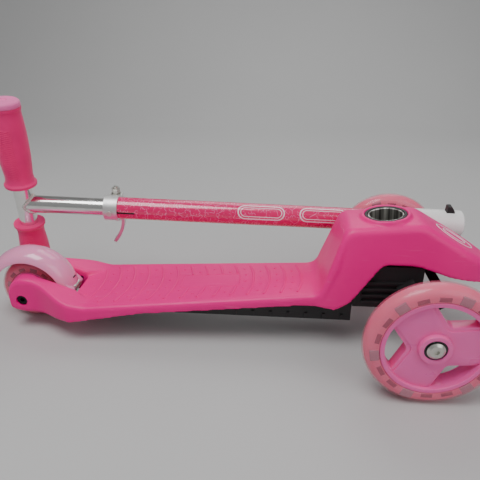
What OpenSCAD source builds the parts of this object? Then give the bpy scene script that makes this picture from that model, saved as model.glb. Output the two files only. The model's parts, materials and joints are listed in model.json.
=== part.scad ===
// Three-wheel child's kick scooter that steers by leaning, with its handlebar pulled out of the
// socket and stood beside the deck. The rear end of the handlebar stands on the lower grip.
// X points forward, Y to the rider's left, Z up. The origin is on the floor, in the middle of the
// space that the whole scooter takes. Sizes are in millimetres.

/* [Wheels] */
// Diameter of the front wheels
front_wheel_d = 135; // [115:1:165]
// Width of the front wheels
front_wheel_w = 24; // [20:1:29]
// Diameter of the front wheels' plastic cores, inside the tyres
front_core_d = 103; // [86:1:108]
// Diameter of the rear wheel
rear_wheel_d = 80; // [72:1:90]
// Width of the rear wheel
rear_wheel_w = 24; // [20:1:26]
// Diameter of the rear wheel's plastic core
rear_core_d = 50; // [44:1:58]
// Distance between the middles of the two front wheels
track = 242; // [225:1:295]
// Distance from the front axles to the rear axle
wheelbase = 458; // [380:1:552]
// Spokes of a front wheel
front_spokes = 3; // [3:1:5]
// Spokes of the rear wheel
rear_spokes = 6; // [5:1:8]
// Light windows round a front tyre
front_windows = 18; // [14:1:20]
// Light windows round the rear tyre
rear_windows = 12; // [9:1:13]
// Diameter of an axle bolt's shank
axle_d = 7.9; // [7.9:0.1:8.5]
// Outside diameter of a wheel bearing
bearing_d = 22; // [20:1:26]
// Width of a wheel bearing
bearing_w = 7; // [6:0.5:8]

/* [Deck] */
// Half width of the deck at its front end
deck_half_front = 43; // [38:1:52]
// Half width of the deck at its widest, in front of the rear wheel
deck_half_rear = 58; // [50:1:70]
// Wall of the deck moulding
deck_wall = 3.6; // [3:0.2:4.4]
// Height of the deck's top above the front axles, where the housing starts
deck_rise_front = 1.7; // [0:0.1:8]
// Height of the deck's top above the rear axle, in front of the rear wheel
deck_rise_rear = 5.2; // [3:0.1:8]
// Depth of the skirt along the deck's sides
skirt = 12; // [10:1:15]
// Half width over the two rear fork arms
fork_half = 36; // [33:1:40]
// Depth of the ribbed tray's floor below the front axles
tray_drop = 36; // [32:1:40]

/* [Front housing] */
// Height of the stem socket's mouth above the front axles
socket_rise = 84.3; // [76:0.1:100]
// Distance of the socket's mouth behind the front axles
socket_back = 32; // [28:1:36]
// Backward lean of the stem socket in degrees
head_angle = 6; // [0:0.5:9]
// Inside diameter of the stem socket
socket_bore_d = 35.7; // [33:0.1:38]
// Half width of the housing's roof
roof_half = 33; // [31:1:36]
// Half width of the housing at the bottom of its sides
skirt_half = 46.5; // [43:0.5:50]

/* [Steering] */
// Distance of a kingpin from the middle of the scooter
kingpin_y = 66; // [62:1:74]
// Backward lean of the kingpins in degrees
kingpin_tilt = 30; // [20:1:35]
// Diameter of a kingpin
kingpin_d = 8; // [7:0.5:9]
// Distance from a kingpin to its tie rod pin
lug_length = 30; // [28:1:34]

/* [Handlebar] */
// Diameter of the crossbar and of the upper tube
bar_d = 22.2; // [20:0.1:24]
// Outside diameter of the lower tube
stem_d = 28; // [27:0.2:32]
// Wall of the tubes
tube_wall = 1.5; // [1.2:0.1:1.8]
// Half length of the crossbar over the grips
bar_half = 134; // [120:1:150]
// Length from the crossbar to the end of the plug
stem_length = 558.6; // [500:0.1:620]
// Length of the upper tube that shows below the crossbar
shown_length = 104; // [90:1:120]
// Length of the plug outside the lower tube
plug_length = 88; // [80:1:100]
// Length of a grip
grip_length = 107; // [90:1:112]
// Largest diameter of a grip
grip_d = 39; // [36:1:42]
// Sideways lean of the standing handlebar in degrees
bar_lean = 8; // [6:0.5:9]
// Height of the standing handlebar's front end above the front axles
plug_rise = 43.2; // [40:0.1:50]

/* [Brake] */
// Clearance between the brake block and the rear tyre
brake_gap = 4; // [3:0.5:6]
// Height of the fender's crown above the rear tyre
fender_rise = 16; // [14:1:20]
// Half width of the fender
fender_half = 20; // [18:0.5:20]

/* [Fits] */
// Radial clearance of a turning or sliding shaft
run_gap = 0.05; // [0.02:0.01:0.1]
// Clearance between faces of two bodies that move past each other
side_gap = 0.3; // [0.2:0.05:0.6]

/* [Hidden] */
$fn = 64;
tiny = 0.01;

// Heights of the axles
front_z = front_wheel_d / 2;
rear_z = rear_wheel_d / 2;
rear_x = -wheelbase;
wheel_y = track / 2;
wheel_inner_y = wheel_y - front_wheel_w / 2;

// Bearings sit a little below the face of the hub
bearing_recess = 1.5;
axle_r = axle_d / 2;
bearing_bore_r = axle_r + run_gap;
head_r = 8.7;
washer_t = 0.8;
head_t = 2.8;

// Deck
deck_front_x = -94;
deck_rear_x = rear_x + 63;
deck_front_z = front_z + deck_rise_front;
deck_rear_z = rear_z + deck_rise_rear;
deck_slope = (deck_front_z - deck_rear_z) / (deck_front_x - deck_rear_x);
deck_top = 4;
well_half = fender_half + 1.5;
fork_inner = rear_wheel_w / 2 + 6;
fork_end_x = rear_x - 16;
tray_half = 30;
tray_back = rear_x + 76;
tray_depth_rear = 10;
function deck_z(x) = deck_front_z + deck_slope * (x - deck_front_x);
tray_floor = min(front_z - tray_drop, deck_z(tray_back) - deck_top - tray_depth_rear);

// Front housing, as heights above the front axles
roof_z = front_z + socket_rise;
nose_x = 92;
arch_z = front_z + 42;
head_wall = 3.4;
socket_r = socket_bore_d / 2;
socket_out_r = socket_r + 1.65;
collar_r = socket_out_r + 3.9;

// Steering
kingpin_r = kingpin_d / 2;
barrel_half = 13;
ear_t = 7;
ear_r = 10;
block_half = 34;
post_end = 44;
lug_t = 6;
lug_half = 6;
rod_pin_r = 3;
rod_half = 5;
spring_u = 18;

// Handlebar
bar_r = bar_d / 2;
stem_r = stem_d / 2;
plug_r = socket_r - 0.35;
grip_r = grip_d / 2;
flange_x = bar_half - grip_length;
band_w = 17;
band_t = 2.2;
skewer_y = stem_r + 6;
skewer_x = shown_length + 9;
cam_z = -21;
button_x = stem_length - 17.5;
button_l = 10;
button_w = 8;
button_out = 8;
inner_reach = 230;
// The plug's button springs out under the lower end of the socket
socket_length = plug_length - (stem_length - button_x) - button_l / 2 - 0.5;

// How the handlebar stands: the crossbar leans, and the lower grip meets the floor
front_bar_y = wheel_inner_y - plug_r - 11.5;
bar_x = rear_x - 18;
cap_corner_r = grip_r - 5;
bar_drop = bar_half * cos(bar_lean) + cap_corner_r * sin(bar_lean) - front_z - plug_rise;
bar_pitch = asin(bar_drop / stem_length);
bar_up = cos(bar_lean) * cos(bar_pitch);
bar_z = bar_half * bar_up + cap_corner_r * sqrt(1 - bar_up * bar_up);
bar_y = fork_half + 3.5 + grip_r - (bar_z - rear_z) * tan(bar_lean);
bar_yaw = asin((front_bar_y - bar_y) / stem_length);

// The origin is in the middle of the whole length
front_reach = max(bar_x + stem_length * cos(bar_pitch) * cos(bar_yaw) + 3, front_z, nose_x);
fender_r = rear_z + fender_rise;
fender_from = 14;
fender_to = 150;
rear_reach = min(bar_x - 25, rear_x + fender_r * cos(fender_to));
shift_x = -(front_reach + rear_reach) / 2;

module in_frame() translate([shift_x, 0, 0]) children();
module at_front(side) translate([0, side * wheel_y, front_z]) rotate([-90 * side, 0, 0]) children();
module at_rear() translate([rear_x, 0, rear_z]) rotate([-90, 0, 0]) children();
module at_kingpin(side) translate([0, side * kingpin_y, front_z]) rotate([0, -kingpin_tilt, 0]) children();
module at_socket() translate([-socket_back, 0, roof_z]) rotate([0, -head_angle, 0]) children();
module at_bar() translate([bar_x, bar_y, bar_z]) rotate([bar_lean, bar_pitch, bar_yaw]) children();

module ring(outer_r, inner_r, h) {
    difference() {
        cylinder(r = outer_r, h = h);
        translate([0, 0, -1]) cylinder(r = inner_r, h = h + 2);
    }
}
module along_x(x0, length, r) translate([x0, 0, 0]) rotate([0, 90, 0]) cylinder(r = r, h = length);
module across(r, half) rotate([90, 0, 0]) cylinder(r = r, h = 2 * half, center = true);

// A side profile in X and Z, drawn out to both sides of the middle
module side_profile(points, half) {
    rotate([90, 0, 0]) translate([0, 0, -half]) linear_extrude(2 * half) polygon(points);
}

// Wheels, drawn round the Z axis with the outer side up
module wheel_window(from_r, to_r, half_angle, h) {
    linear_extrude(h, center = true)
        polygon(concat([[from_r, 0]],
            [for (k = [-4:4]) to_r * [cos(half_angle * k / 4), sin(half_angle * k / 4)]]));
}
module wheel_core(core_r, w, rim_t, spokes, web_t, vertex_r) {
    rim_in = core_r - rim_t;
    seat = w / 2 - bearing_recess - bearing_w;
    difference() {
        union() {
            translate([0, 0, 1 - w / 2]) ring(core_r, rim_in, w - 2);
            difference() {
                translate([0, 0, -web_t / 2]) cylinder(r = rim_in + 0.5, h = web_t);
                for (k = [0:spokes - 1])
                    rotate(k * 360 / spokes + 65)
                        wheel_window(vertex_r, rim_in + 1, 96 / spokes, web_t + 2);
            }
            translate([0, 0, -w / 2]) cylinder(r = bearing_d / 2 + 5, h = w);
        }
        translate([0, 0, seat]) cylinder(r = bearing_d / 2, h = w);
        translate([0, 0, -seat - w]) cylinder(r = bearing_d / 2, h = w);
        translate([0, 0, -w]) cylinder(r = bearing_d / 2 - 2, h = 2 * w);
    }
}
module window_boxes(core_r, count, h, w, grow) {
    for (k = [0:count - 1])
        rotate((k + 0.5) * 360 / count)
            translate([core_r - 1, -w / 2 - grow, -h / 2 - grow])
                cube([6 + grow, w + 2 * grow, h + 2 * grow]);
}
module wheel_tyre(d, w, core_r, count, window_w) {
    crown = (d / 2 - core_r) * 0.7;
    side_r = d / 2 - crown;
    difference() {
        rotate_extrude($fn = 96)
            polygon(concat([[core_r, 1 - w / 2]],
                [for (a = [-90:15:90]) [side_r + crown * cos(a), w / 2 * sin(a)]],
                [[core_r, w / 2 - 1]]));
        difference() {
            window_boxes(core_r, count, w * 0.6, window_w, 0);
            cylinder(r = core_r, h = w, center = true);
        }
    }
}
module wheel_lights(core_r, count, w, window_w, every) {
    for (k = [0:every:count - 1])
        rotate((k + 0.5) * 360 / count)
            translate([core_r + 0.4, 1 - window_w / 2, -w * 0.3 + 1])
                cube([3.2, window_w - 2, w * 0.6 - 2]);
}
module bearing_ring(z0) {
    shield = 0.4;
    translate([0, 0, z0])
        rotate_extrude()
            polygon([[bearing_bore_r, 0], [bearing_bore_r + 1.9, 0], [bearing_bore_r + 1.9, shield],
                [bearing_d / 2 - 1.6, shield], [bearing_d / 2 - 1.6, 0], [bearing_d / 2, 0],
                [bearing_d / 2, bearing_w], [bearing_d / 2 - 1.6, bearing_w],
                [bearing_d / 2 - 1.6, bearing_w - shield],
                [bearing_bore_r + 1.9, bearing_w - shield], [bearing_bore_r + 1.9, bearing_w],
                [bearing_bore_r, bearing_w]]);
}
module bearing_pair(w) {
    seat = w / 2 - bearing_recess - bearing_w;
    bearing_ring(seat);
    bearing_ring(-seat - bearing_w);
}
module sleeve_between(w) {
    half = w / 2 - bearing_recess - bearing_w - 0.15;
    translate([0, 0, -half]) ring(axle_r + 2.6, axle_r, 2 * half);
}
front_face = front_wheel_w / 2 - bearing_recess;
module front_core(side) color("hotpink") at_front(side)
    wheel_core(front_core_d / 2, front_wheel_w, 4.6, front_spokes, 15, 26);
module front_tyre(side) color("lightpink") at_front(side)
    wheel_tyre(front_wheel_d, front_wheel_w, front_core_d / 2, front_windows, 10);
module front_bearings(side) color("silver") at_front(side) bearing_pair(front_wheel_w);
module front_lights(side) color("white") at_front(side)
    wheel_lights(front_core_d / 2, front_windows, front_wheel_w, 10, 3);
module hub_sleeve(side) color("gray") at_front(side) sleeve_between(front_wheel_w);
module rear_core() color("hotpink") at_rear()
    wheel_core(rear_core_d / 2, rear_wheel_w, 4, rear_spokes, 12, 17.5);
module rear_tyre() color("lightpink") at_rear()
    wheel_tyre(rear_wheel_d, rear_wheel_w, rear_core_d / 2, rear_windows, 8);
module rear_bearings() color("silver") at_rear() bearing_pair(rear_wheel_w);
module rear_lights() color("white") at_rear()
    wheel_lights(rear_core_d / 2, rear_windows, rear_wheel_w, 8, 3);
module rear_hub_sleeve() color("gray") at_rear() sleeve_between(rear_wheel_w);

// Front axles: a button-headed bolt through the bearings into the steering arm
bolt_end = wheel_y - kingpin_y - kingpin_r - run_gap - 3;
module axle_bolt(side) color("silver") at_front(side) {
    difference() {
        union() {
            translate([0, 0, -bolt_end]) cylinder(r = axle_r, h = bolt_end + front_face + washer_t + 0.5);
            translate([0, 0, front_face + washer_t + 0.1])
                rotate_extrude()
                    polygon([[0, 0], [head_r, 0], [head_r, 0.9], [head_r - 2.4, head_t], [0, head_t]]);
        }
        translate([0, 0, front_face + washer_t + head_t - 1.9]) cylinder(r = 2.9, h = 4, $fn = 6);
    }
}
module axle_washers(side) color("silver") at_front(side) {
    translate([0, 0, front_face + 0.1]) ring(6.2, axle_r, washer_t);
    translate([0, 0, -front_face - 0.1 - washer_t]) ring(6.2, axle_r, washer_t);
}

// Steering arm: a barrel that turns on the kingpin, a boss for the axle and a lug for the tie rod
module steering_arm(side) color([0.08, 0.08, 0.09]) {
    boss_end = wheel_y - front_face - 0.1 - washer_t;
    shoulder = wheel_inner_y - 1;
    difference() {
        union() {
            at_kingpin(side) {
                cylinder(r = 11, h = 2 * barrel_half, center = true);
                translate([0, -lug_half, -lug_t / 2]) cube([lug_length, 2 * lug_half, lug_t]);
                translate([lug_length, 0, 0]) cylinder(r = lug_half, h = lug_t, center = true);
            }
            translate([0, side * (kingpin_y + shoulder) / 2, front_z])
                across(9.5, (shoulder - kingpin_y) / 2);
            translate([0, side * (kingpin_y + boss_end) / 2, front_z])
                across(6, (boss_end - kingpin_y) / 2);
            translate([-2, min(side * kingpin_y, side * (shoulder - 8)), front_z - 15])
                cube([4, shoulder - 8 - kingpin_y, 30]);
        }
        at_kingpin(side) {
            cylinder(r = kingpin_r + run_gap, h = 80, center = true);
            translate([lug_length, 0, 0])
                cylinder(r = rod_pin_r + (side > 0 ? run_gap : side_gap), h = 20, center = true);
            translate([-30, -30, barrel_half]) cube([60, 60, 20]);
            translate([-30, -30, -barrel_half - 20]) cube([60, 60, 20]);
        }
        at_front(side) translate([0, 0, -bolt_end]) cylinder(r = axle_r, h = 2 * bolt_end);
    }
}
rod_z = lug_t / 2 + side_gap;
rod_t = 3;
module tie_rod() color("dimgray") {
    difference() {
        translate([0, 0, front_z]) rotate([0, -kingpin_tilt, 0]) union() {
            translate([lug_length - rod_half, -kingpin_y, rod_z]) cube([2 * rod_half, 2 * kingpin_y, rod_t]);
            for (side = [-1, 1])
                translate([lug_length, side * kingpin_y, rod_z]) cylinder(r = 7, h = rod_t);
        }
        for (side = [-1, 1])
            at_kingpin(side) translate([lug_length, 0, 0]) cylinder(r = rod_pin_r, h = 20);
    }
}
module tie_rod_pins() color("silver") {
    for (side = [-1, 1])
        at_kingpin(side) translate([lug_length, 0, 0]) {
            translate([0, 0, -lug_t / 2 - 1]) cylinder(r = rod_pin_r, h = lug_t + 1 + side_gap + rod_t);
            translate([0, 0, rod_z + rod_t]) cylinder(r = rod_pin_r + 2, h = 2);
        }
}

// Front bracket: a ribbed block inside the housing, with ears for the kingpins
block_back = -64;
block_front = 10;
block_low = front_z - 16;
block_high = front_z + 36;
ear_z = barrel_half + side_gap;
module front_bracket() color([0.1, 0.1, 0.11]) {
    difference() {
        union() {
            difference() {
                translate([block_back, -block_half, block_low])
                    cube([block_front - block_back, 2 * block_half, block_high - block_low]);
                translate([block_back + 4, -block_half + 4, block_low - 1])
                    cube([block_front - block_back - 8, 2 * block_half - 8, block_high - block_low - 3]);
            }
            at_socket() translate([0, 0, -socket_length]) cylinder(r = socket_out_r + 4, h = 30);
            for (side = [-1, 1], k = [0:3])
                translate([block_back + 9, side * (block_half + 1.5) - 1.5, block_low + 7 + 8 * k])
                    cube([44, 3, 2.6]);
            for (side = [-1, 1]) at_kingpin(side) {
                for (z0 = [ear_z, -ear_z - ear_t]) translate([0, 0, z0]) {
                    cylinder(r = ear_r, h = ear_t);
                    translate([-ear_r, min(0, side * (block_half - 2 - kingpin_y)), 0])
                        cube([2 * ear_r, kingpin_y - block_half + 2, ear_t]);
                }
                translate([0, min(side * (post_end - kingpin_y), side * (block_half - 2 - kingpin_y)), -5.5])
                    cube([lug_length - rod_half - 1.5, post_end - block_half + 2, 11]);
            }
        }
        at_socket() translate([0, 0, -socket_length]) cylinder(r = socket_out_r, h = 60);
        at_socket() translate([0, 0, -120]) cylinder(r = socket_r + 2.5, h = 121 - socket_length);
        for (side = [-1, 1]) at_kingpin(side) cylinder(r = kingpin_r, h = 90, center = true);
    }
}
module kingpins() color("silver") for (side = [-1, 1]) at_kingpin(side) {
    translate([0, 0, -ear_z - ear_t - 8]) cylinder(r = kingpin_r, h = 2 * (ear_z + ear_t) + 8);
    translate([0, 0, ear_z + ear_t]) cylinder(r = kingpin_r + 3, h = 3);
}
module kingpin_nuts() color("silver") for (side = [-1, 1]) at_kingpin(side)
    translate([0, 0, -ear_z - ear_t - 6]) difference() {
        cylinder(r = kingpin_r + 3.5, h = 6, $fn = 6);
        translate([0, 0, -1]) cylinder(r = kingpin_r, h = 8);
    }
module steer_spring(side) color("silver")
    at_kingpin(side) translate([spring_u, side * (post_end - kingpin_y), 0])
        rotate([-90 * side, 0, 0]) ring(5, 3.5, kingpin_y - lug_half - post_end);

// Deck moulding. Its plate, its rear fork and its front housing meet face to face
function fork_blend(t) = (1 - cos(180 * t)) / 2;
function deck_half(x) = deck_half_front + (deck_half_rear - deck_half_front)
    * (deck_front_x - x) / (deck_front_x - deck_rear_x - 5);
deck_in_x = deck_front_x - 5;
blend_from = rear_x + 68;
blend_len = 56;
function plan_side(inset) = concat(
    [[deck_in_x, deck_half(deck_in_x) - inset], [blend_from, deck_half(blend_from) - inset]],
    [for (k = [1:8]) [blend_from - blend_len * k / 8,
        deck_half(blend_from) + (fork_half - deck_half(blend_from)) * fork_blend(k / 8) - inset]],
    [[fork_end_x, fork_half - inset]]);
function both(points) = concat(points,
    [for (k = [len(points) - 1:-1:0]) [points[k][0], -points[k][1]]]);
well_x = rear_x + 62;
// Length that makes a cutter run right through the deck
past = 200;
module deck_plan(inset, h) linear_extrude(h) polygon(both(plan_side(inset)));
// Side view of the deck plate: its top is straight, and its skirt is deepest near the rear fork
module deck_body(inset, drop) intersection() {
    deck_plan(inset, front_z + 40);
    side_profile([[deck_in_x, deck_z(deck_in_x) - drop], [fork_end_x, deck_z(fork_end_x) - drop],
        [fork_end_x, rear_z - 12 - drop], [rear_x + 18, rear_z - 17 - drop],
        [rear_x + 60, rear_z - 15 - drop],
        [rear_x + 150, deck_z(rear_x + 150) - skirt - drop * 2],
        [deck_in_x, deck_z(deck_in_x) - skirt - drop * 2]], deck_half_rear + 5);
}
// Side view of a fork arm, from the deck to its rounded rear end
fork_points = concat([[rear_x + 74, rear_z - 2], [well_x, deck_z(well_x)],
    [well_x - 3, deck_z(well_x - 3)], [rear_x + 48, rear_z + 20]],
    [for (a = [60:20:180]) [rear_x + 6 + 22 * cos(a), rear_z + 10 + 22 * sin(a)]],
    [[fork_end_x, rear_z - 10], [rear_x + 12, rear_z - 17], [rear_x + 60, rear_z - 15]]);
module fork_arms() intersection() {
    side_profile(fork_points, deck_half_rear);
    deck_plan(0, front_z + 40);
    translate([rear_x - 40, -fork_half - 3, 0]) cube([120, 2 * fork_half + 6, past]);
}
// Housing: a tapered hood over the front bracket, with an arch on each side for the wheel
hood_back_low = [deck_in_x, deck_z(deck_in_x)];
hood_back_high = [-77, roof_z - 6];
hood_front_high = [4, roof_z + 2];
hood_nose = [nose_x - 3, front_z + 36];
module hood_section(inset) rotate([90, 0, 90]) translate([0, 0, -120])
    linear_extrude(260) polygon([[-skirt_half + inset, block_low - 20],
        [-skirt_half + inset, front_z - 12], [-roof_half + inset, roof_z - 5],
        [-roof_half + 5 + inset, roof_z + 10], [roof_half - 5 - inset, roof_z + 10],
        [roof_half - inset, roof_z - 5], [skirt_half - inset, front_z - 12],
        [skirt_half - inset, block_low - 20]]);
module hood_plan(inset) linear_extrude(roof_z + 30)
    polygon(both([[deck_front_x - 10, skirt_half], [20, skirt_half - inset],
        [nose_x - 30, skirt_half - 4 - inset], [nose_x - 8, skirt_half - 16 - inset],
        [nose_x - inset, skirt_half - 30 - inset]]));
module hood() {
    w = head_wall;
    difference() {
        intersection() {
            side_profile([hood_back_low, hood_back_high, hood_front_high, hood_nose,
                [nose_x, front_z + 28], [nose_x, front_z + 14], [nose_x - 26, front_z + 22],
                [40, front_z + 28], [18, front_z + 33], [0, arch_z - 2], [-30, arch_z],
                [-38, arch_z - 6], [-49, front_z + 20], [-68, front_z - 5],
                [-82, front_z - 14], [deck_in_x, front_z - 12]], skirt_half + 2);
            hood_section(0);
            hood_plan(0);
        }
        intersection() {
            side_profile([[hood_back_low[0] + w, 0], [hood_back_low[0] + w + 1, hood_back_low[1] - w],
                [hood_back_high[0] + w, hood_back_high[1] - w], [hood_front_high[0] - 1, hood_front_high[1] - w],
                [hood_nose[0] - w, hood_nose[1] - w], [nose_x - w, 0]], skirt_half);
            hood_section(w);
            hood_plan(w);
        }
    }
    intersection() {
        at_socket() translate([0, 0, -14]) cylinder(r = collar_r + 4, h = 16.5);
        hood_section(0);
    }
}
module deck_shell() color("deeppink") difference() {
    deck_body(0, 0);
    deck_body(deck_wall, deck_top);
    translate([rear_x - 60, -past / 2, -1]) cube([60 + well_x - rear_x, past, past]);
}
module rear_fork() color("deeppink") difference() {
    union() {
        intersection() {
            difference() {
                deck_body(0, 0);
                intersection() {
                    deck_body(deck_wall, deck_top);
                    translate([rear_x + 52, -past / 2, 0]) cube([60, past, past]);
                }
            }
            translate([rear_x - 60, -past / 2, 0]) cube([60 + well_x - rear_x, past, past]);
        }
        intersection() {
            fork_arms();
            translate([rear_x - 60, -past / 2, 0]) cube([60 + well_x - rear_x, past, past]);
        }
        hinge_cheeks();
    }
    translate([rear_x - 60, -fork_inner, -1]) cube([102, 2 * fork_inner, past]);
    translate([rear_x + 12, -well_half, -1]) cube([well_x - rear_x, 2 * well_half, past]);
    at_rear() cylinder(r = axle_r, h = past, center = true);
    for (side = [-1, 1]) translate([rear_x, side * (fork_half - 3), rear_z]) across(6.8, 3 + tiny);
    translate([hinge_x, 0, hinge_z]) across(hinge_r, well_half + 9);
}
module front_housing() color("deeppink") difference() {
    hood();
    at_socket() translate([0, 0, -40]) cylinder(r = collar_r, h = 60);
    side_profile([[deck_in_x - 1, 0], [deck_in_x - 1, deck_z(deck_in_x - 1) - deck_top + side_gap],
        [block_back, deck_z(block_back) - deck_top + side_gap], [block_back, 0]], tray_half + side_gap);
}

// Fender brake, hinged on a pin across the front of the wheel well
hinge_r = 2.5;
hinge_x = rear_x + 53;
hinge_z = rear_z + 3;
module hinge_cheeks() for (side = [-1, 1])
    translate([hinge_x - 7, side * (well_half + 5) - 5, hinge_z - 9]) cube([14, 10, 13]);
module fender_pin() color("silver") translate([hinge_x, 0, hinge_z]) across(hinge_r, well_half + 9);
function fender_arc(half, rise) = [for (k = [0:12])
    [fender_r - fender_rise + 2 + rise * sin(15 * k), half * cos(15 * k)]];
fender_lip = 3;
module fender_brake() color("pink") {
    lug_w = 9;
    difference() {
        union() {
            at_rear() rotate(-fender_to) rotate_extrude(angle = fender_to - fender_from)
                polygon(concat(fender_arc(fender_half, fender_rise - 2),
                    [for (k = [12:-1:0]) fender_arc(fender_half - fender_lip, fender_rise - 5)[k]]));
            for (side = [-1, 1]) translate([hinge_x, side * (fender_half - lug_w / 2), hinge_z]) {
                across(5.5, lug_w / 2);
                translate([-5.5, -lug_w / 2, 0]) cube([11, lug_w, 10]);
            }
        }
        translate([hinge_x, 0, hinge_z]) across(hinge_r + run_gap, fender_half + 5);
        translate([well_x - 0.6, -60, -1]) cube([40, 120, 100]);
    }
}
block_r = rear_z + brake_gap;
module brake_block() color("dimgray") at_rear() rotate(-112) rotate_extrude(angle = 36)
    polygon([[block_r, -7], [fender_r - 4, -7], [fender_r - 4, 7], [block_r, 7]]);
module brake_spring() color("silver") translate([hinge_x, 0, hinge_z]) rotate([90, 0, 0])
    translate([0, 0, -8]) ring(hinge_r + 2.2, hinge_r + 0.3, 16);

// Rear axle
module rear_axle_bolt() color("silver") translate([rear_x, 0, rear_z]) rotate([90, 0, 0]) difference() {
    union() {
        translate([0, 0, -fork_half + 2]) cylinder(r = axle_r, h = 2 * fork_half - 6 - 2);
        translate([0, 0, fork_half - 6]) cylinder(r = 6.2, h = 4);
    }
    translate([0, 0, fork_half - 4.5]) cylinder(r = 2.9, h = 5, $fn = 6);
}
module rear_axle_nut() color("silver") translate([rear_x, -6 + fork_half, rear_z]) rotate([-90, 0, 0])
    difference() {
        cylinder(r = 6.6, h = 4, $fn = 6);
        translate([0, 0, -1]) cylinder(r = axle_r, h = 8);
    }
module rear_spacers() color("gray") for (side = [-1, 1]) at_rear() {
    len = fork_inner - (rear_wheel_w / 2 - bearing_recess) - 0.1;
    translate([0, 0, side > 0 ? fork_inner - len : -fork_inner]) ring(axle_r + 2.5, axle_r, len);
}

// Ribbed tray under the deck
tray_front = block_back;
module under_tray() color([0.09, 0.09, 0.1]) difference() {
    union() {
        side_profile([[tray_front, deck_z(tray_front) - deck_top],
            [tray_back, deck_z(tray_back) - deck_top],
            [tray_back, tray_floor], [tray_back + 6, tray_floor - 2], [tray_front, tray_floor - 2]], tray_half);
        for (k = [0:14], side = [-1, 1])
            translate([tray_back + 16 + k * (tray_front - tray_back - 28) / 14, side * tray_half - 1.5,
                tray_floor]) cube([3, 3, 6]);
    }
    for (k = [0:7]) {
        cell = (tray_front - tray_back - 12) / 8;
        translate([tray_back + 6 + k * cell, -tray_half + 4, tray_floor + 1])
            cube([cell - 3, 2 * tray_half - 8, 100]);
    }
    for (x = tray_screw_x, side = [-1, 1]) translate([x, side * 22, 0]) cylinder(r = 2, h = 200);
}
tray_screw_x = [for (k = [1, 4, 7]) tray_back + 4.5 + k * (tray_front - tray_back - 12) / 8];
module tray_screws() color("silver") for (x = tray_screw_x, side = [-1, 1])
    translate([x, side * 22, tray_floor - 2]) {
        translate([0, 0, -1.6]) cylinder(r = 4, h = 1.6);
        translate([0, 0, -0.2]) cylinder(r = 2, h = deck_z(x) - deck_top - tray_floor + 1);
    }
module bracket_bolts() color("silver") for (side = [-1, 1], x = [block_back + 14, block_front - 14])
    translate([x, side * 20, block_high]) {
        cylinder(r = 6, h = 4, $fn = 6);
    }

// Stem socket
module stem_socket() color("silver") at_socket()
    translate([0, 0, -socket_length]) ring(socket_out_r, socket_r, socket_length);
module socket_collar() color([0.1, 0.1, 0.11]) at_socket()
    translate([0, 0, -12]) ring(collar_r, socket_out_r, 13.2);

// Handlebar, drawn with the stem along X from the crossbar and the crossbar along Z
tube_end = stem_length - plug_length;
stem_in = stem_r - tube_wall;
shim_r = bar_r + run_gap;
module lower_tube() color("deeppink") at_bar() difference() {
    along_x(shown_length + 1, tube_end - shown_length - 1, stem_r);
    along_x(shown_length, tube_end, stem_in);
    translate([shown_length, -stem_r - 1, -1.6]) cube([39, 8, 3.2]);
}
spigot = 26;
module tube_plug() color("white") at_bar() difference() {
    union() {
        along_x(tube_end, plug_length - 2, plug_r);
        translate([stem_length - 2, 0, 0]) rotate([0, 90, 0]) cylinder(r1 = plug_r, r2 = plug_r - 2, h = 2);
        along_x(tube_end - spigot, spigot + 1, stem_in);
    }
    along_x(tube_end - spigot - 1, plug_length + spigot - 8, 9);
    translate([button_x - button_l / 2 - side_gap, -button_w / 2 - side_gap, 0])
        cube([button_l + 2 * side_gap, button_w + 2 * side_gap, 40]);
}
module release_button() color([0.1, 0.1, 0.11]) at_bar() {
    translate([button_x, 0, 0]) rotate([90, 0, 0]) translate([0, 0, -button_w / 2])
        linear_extrude(button_w) polygon([[-button_l / 2, 4], [button_l / 2, 4],
            [button_l / 2, plug_r + 1.5], [button_l / 2 - 5, plug_r + button_out],
            [-button_l / 2, plug_r + button_out]]);
}
module button_spring() color("silver") at_bar()
    translate([button_x, 0, -8]) ring(3.2, 2.2, 11.8);
module tube_shim() color([0.15, 0.15, 0.16]) at_bar() difference() {
    along_x(shown_length + 1, 60, stem_in);
    along_x(shown_length, 62, shim_r);
    translate([shown_length, -stem_r - 1, -1.6]) cube([41, 8, 3.2]);
}
lug_z = 9.5;
module clamp_band() color("silver") at_bar() difference() {
    union() {
        along_x(shown_length, band_w, stem_r + band_t);
        translate([shown_length, 0, -lug_z]) cube([band_w, skewer_y + 5, 2 * lug_z]);
    }
    along_x(shown_length + 1, band_w + 1, stem_r);
    along_x(shown_length - 1, 4, bar_r + 0.4);
    translate([shown_length - 1, stem_in, -1.5]) cube([band_w + 2, 30, 3]);
    translate([skewer_x, skewer_y, 0]) cylinder(r = 3, h = 40, center = true);
}
module clamp_key_screw() color("silver") at_bar() {
    translate([shown_length + 8, -stem_r - band_t, 0]) rotate([90, 0, 0]) cylinder(r = 3.4, h = 1.6);
}
skewer_half = 20;
module clamp_skewer() color("silver") at_bar() translate([skewer_x, skewer_y, 0]) difference() {
    translate([0, 0, cam_z - 5]) cylinder(r = 2.95, h = skewer_half + 5 - cam_z);
    translate([0, 0, cam_z]) across(2, 10);
}
module skewer_nut() color("silver") at_bar() translate([skewer_x, skewer_y, lug_z]) {
    ring(6.5, 2.95, 1.4);
    translate([0, 0, 1.4]) difference() {
        cylinder(r = 5.4, h = 7, $fn = 6);
        translate([0, 0, -1]) cylinder(r = 2.95, h = 9);
    }
}
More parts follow.
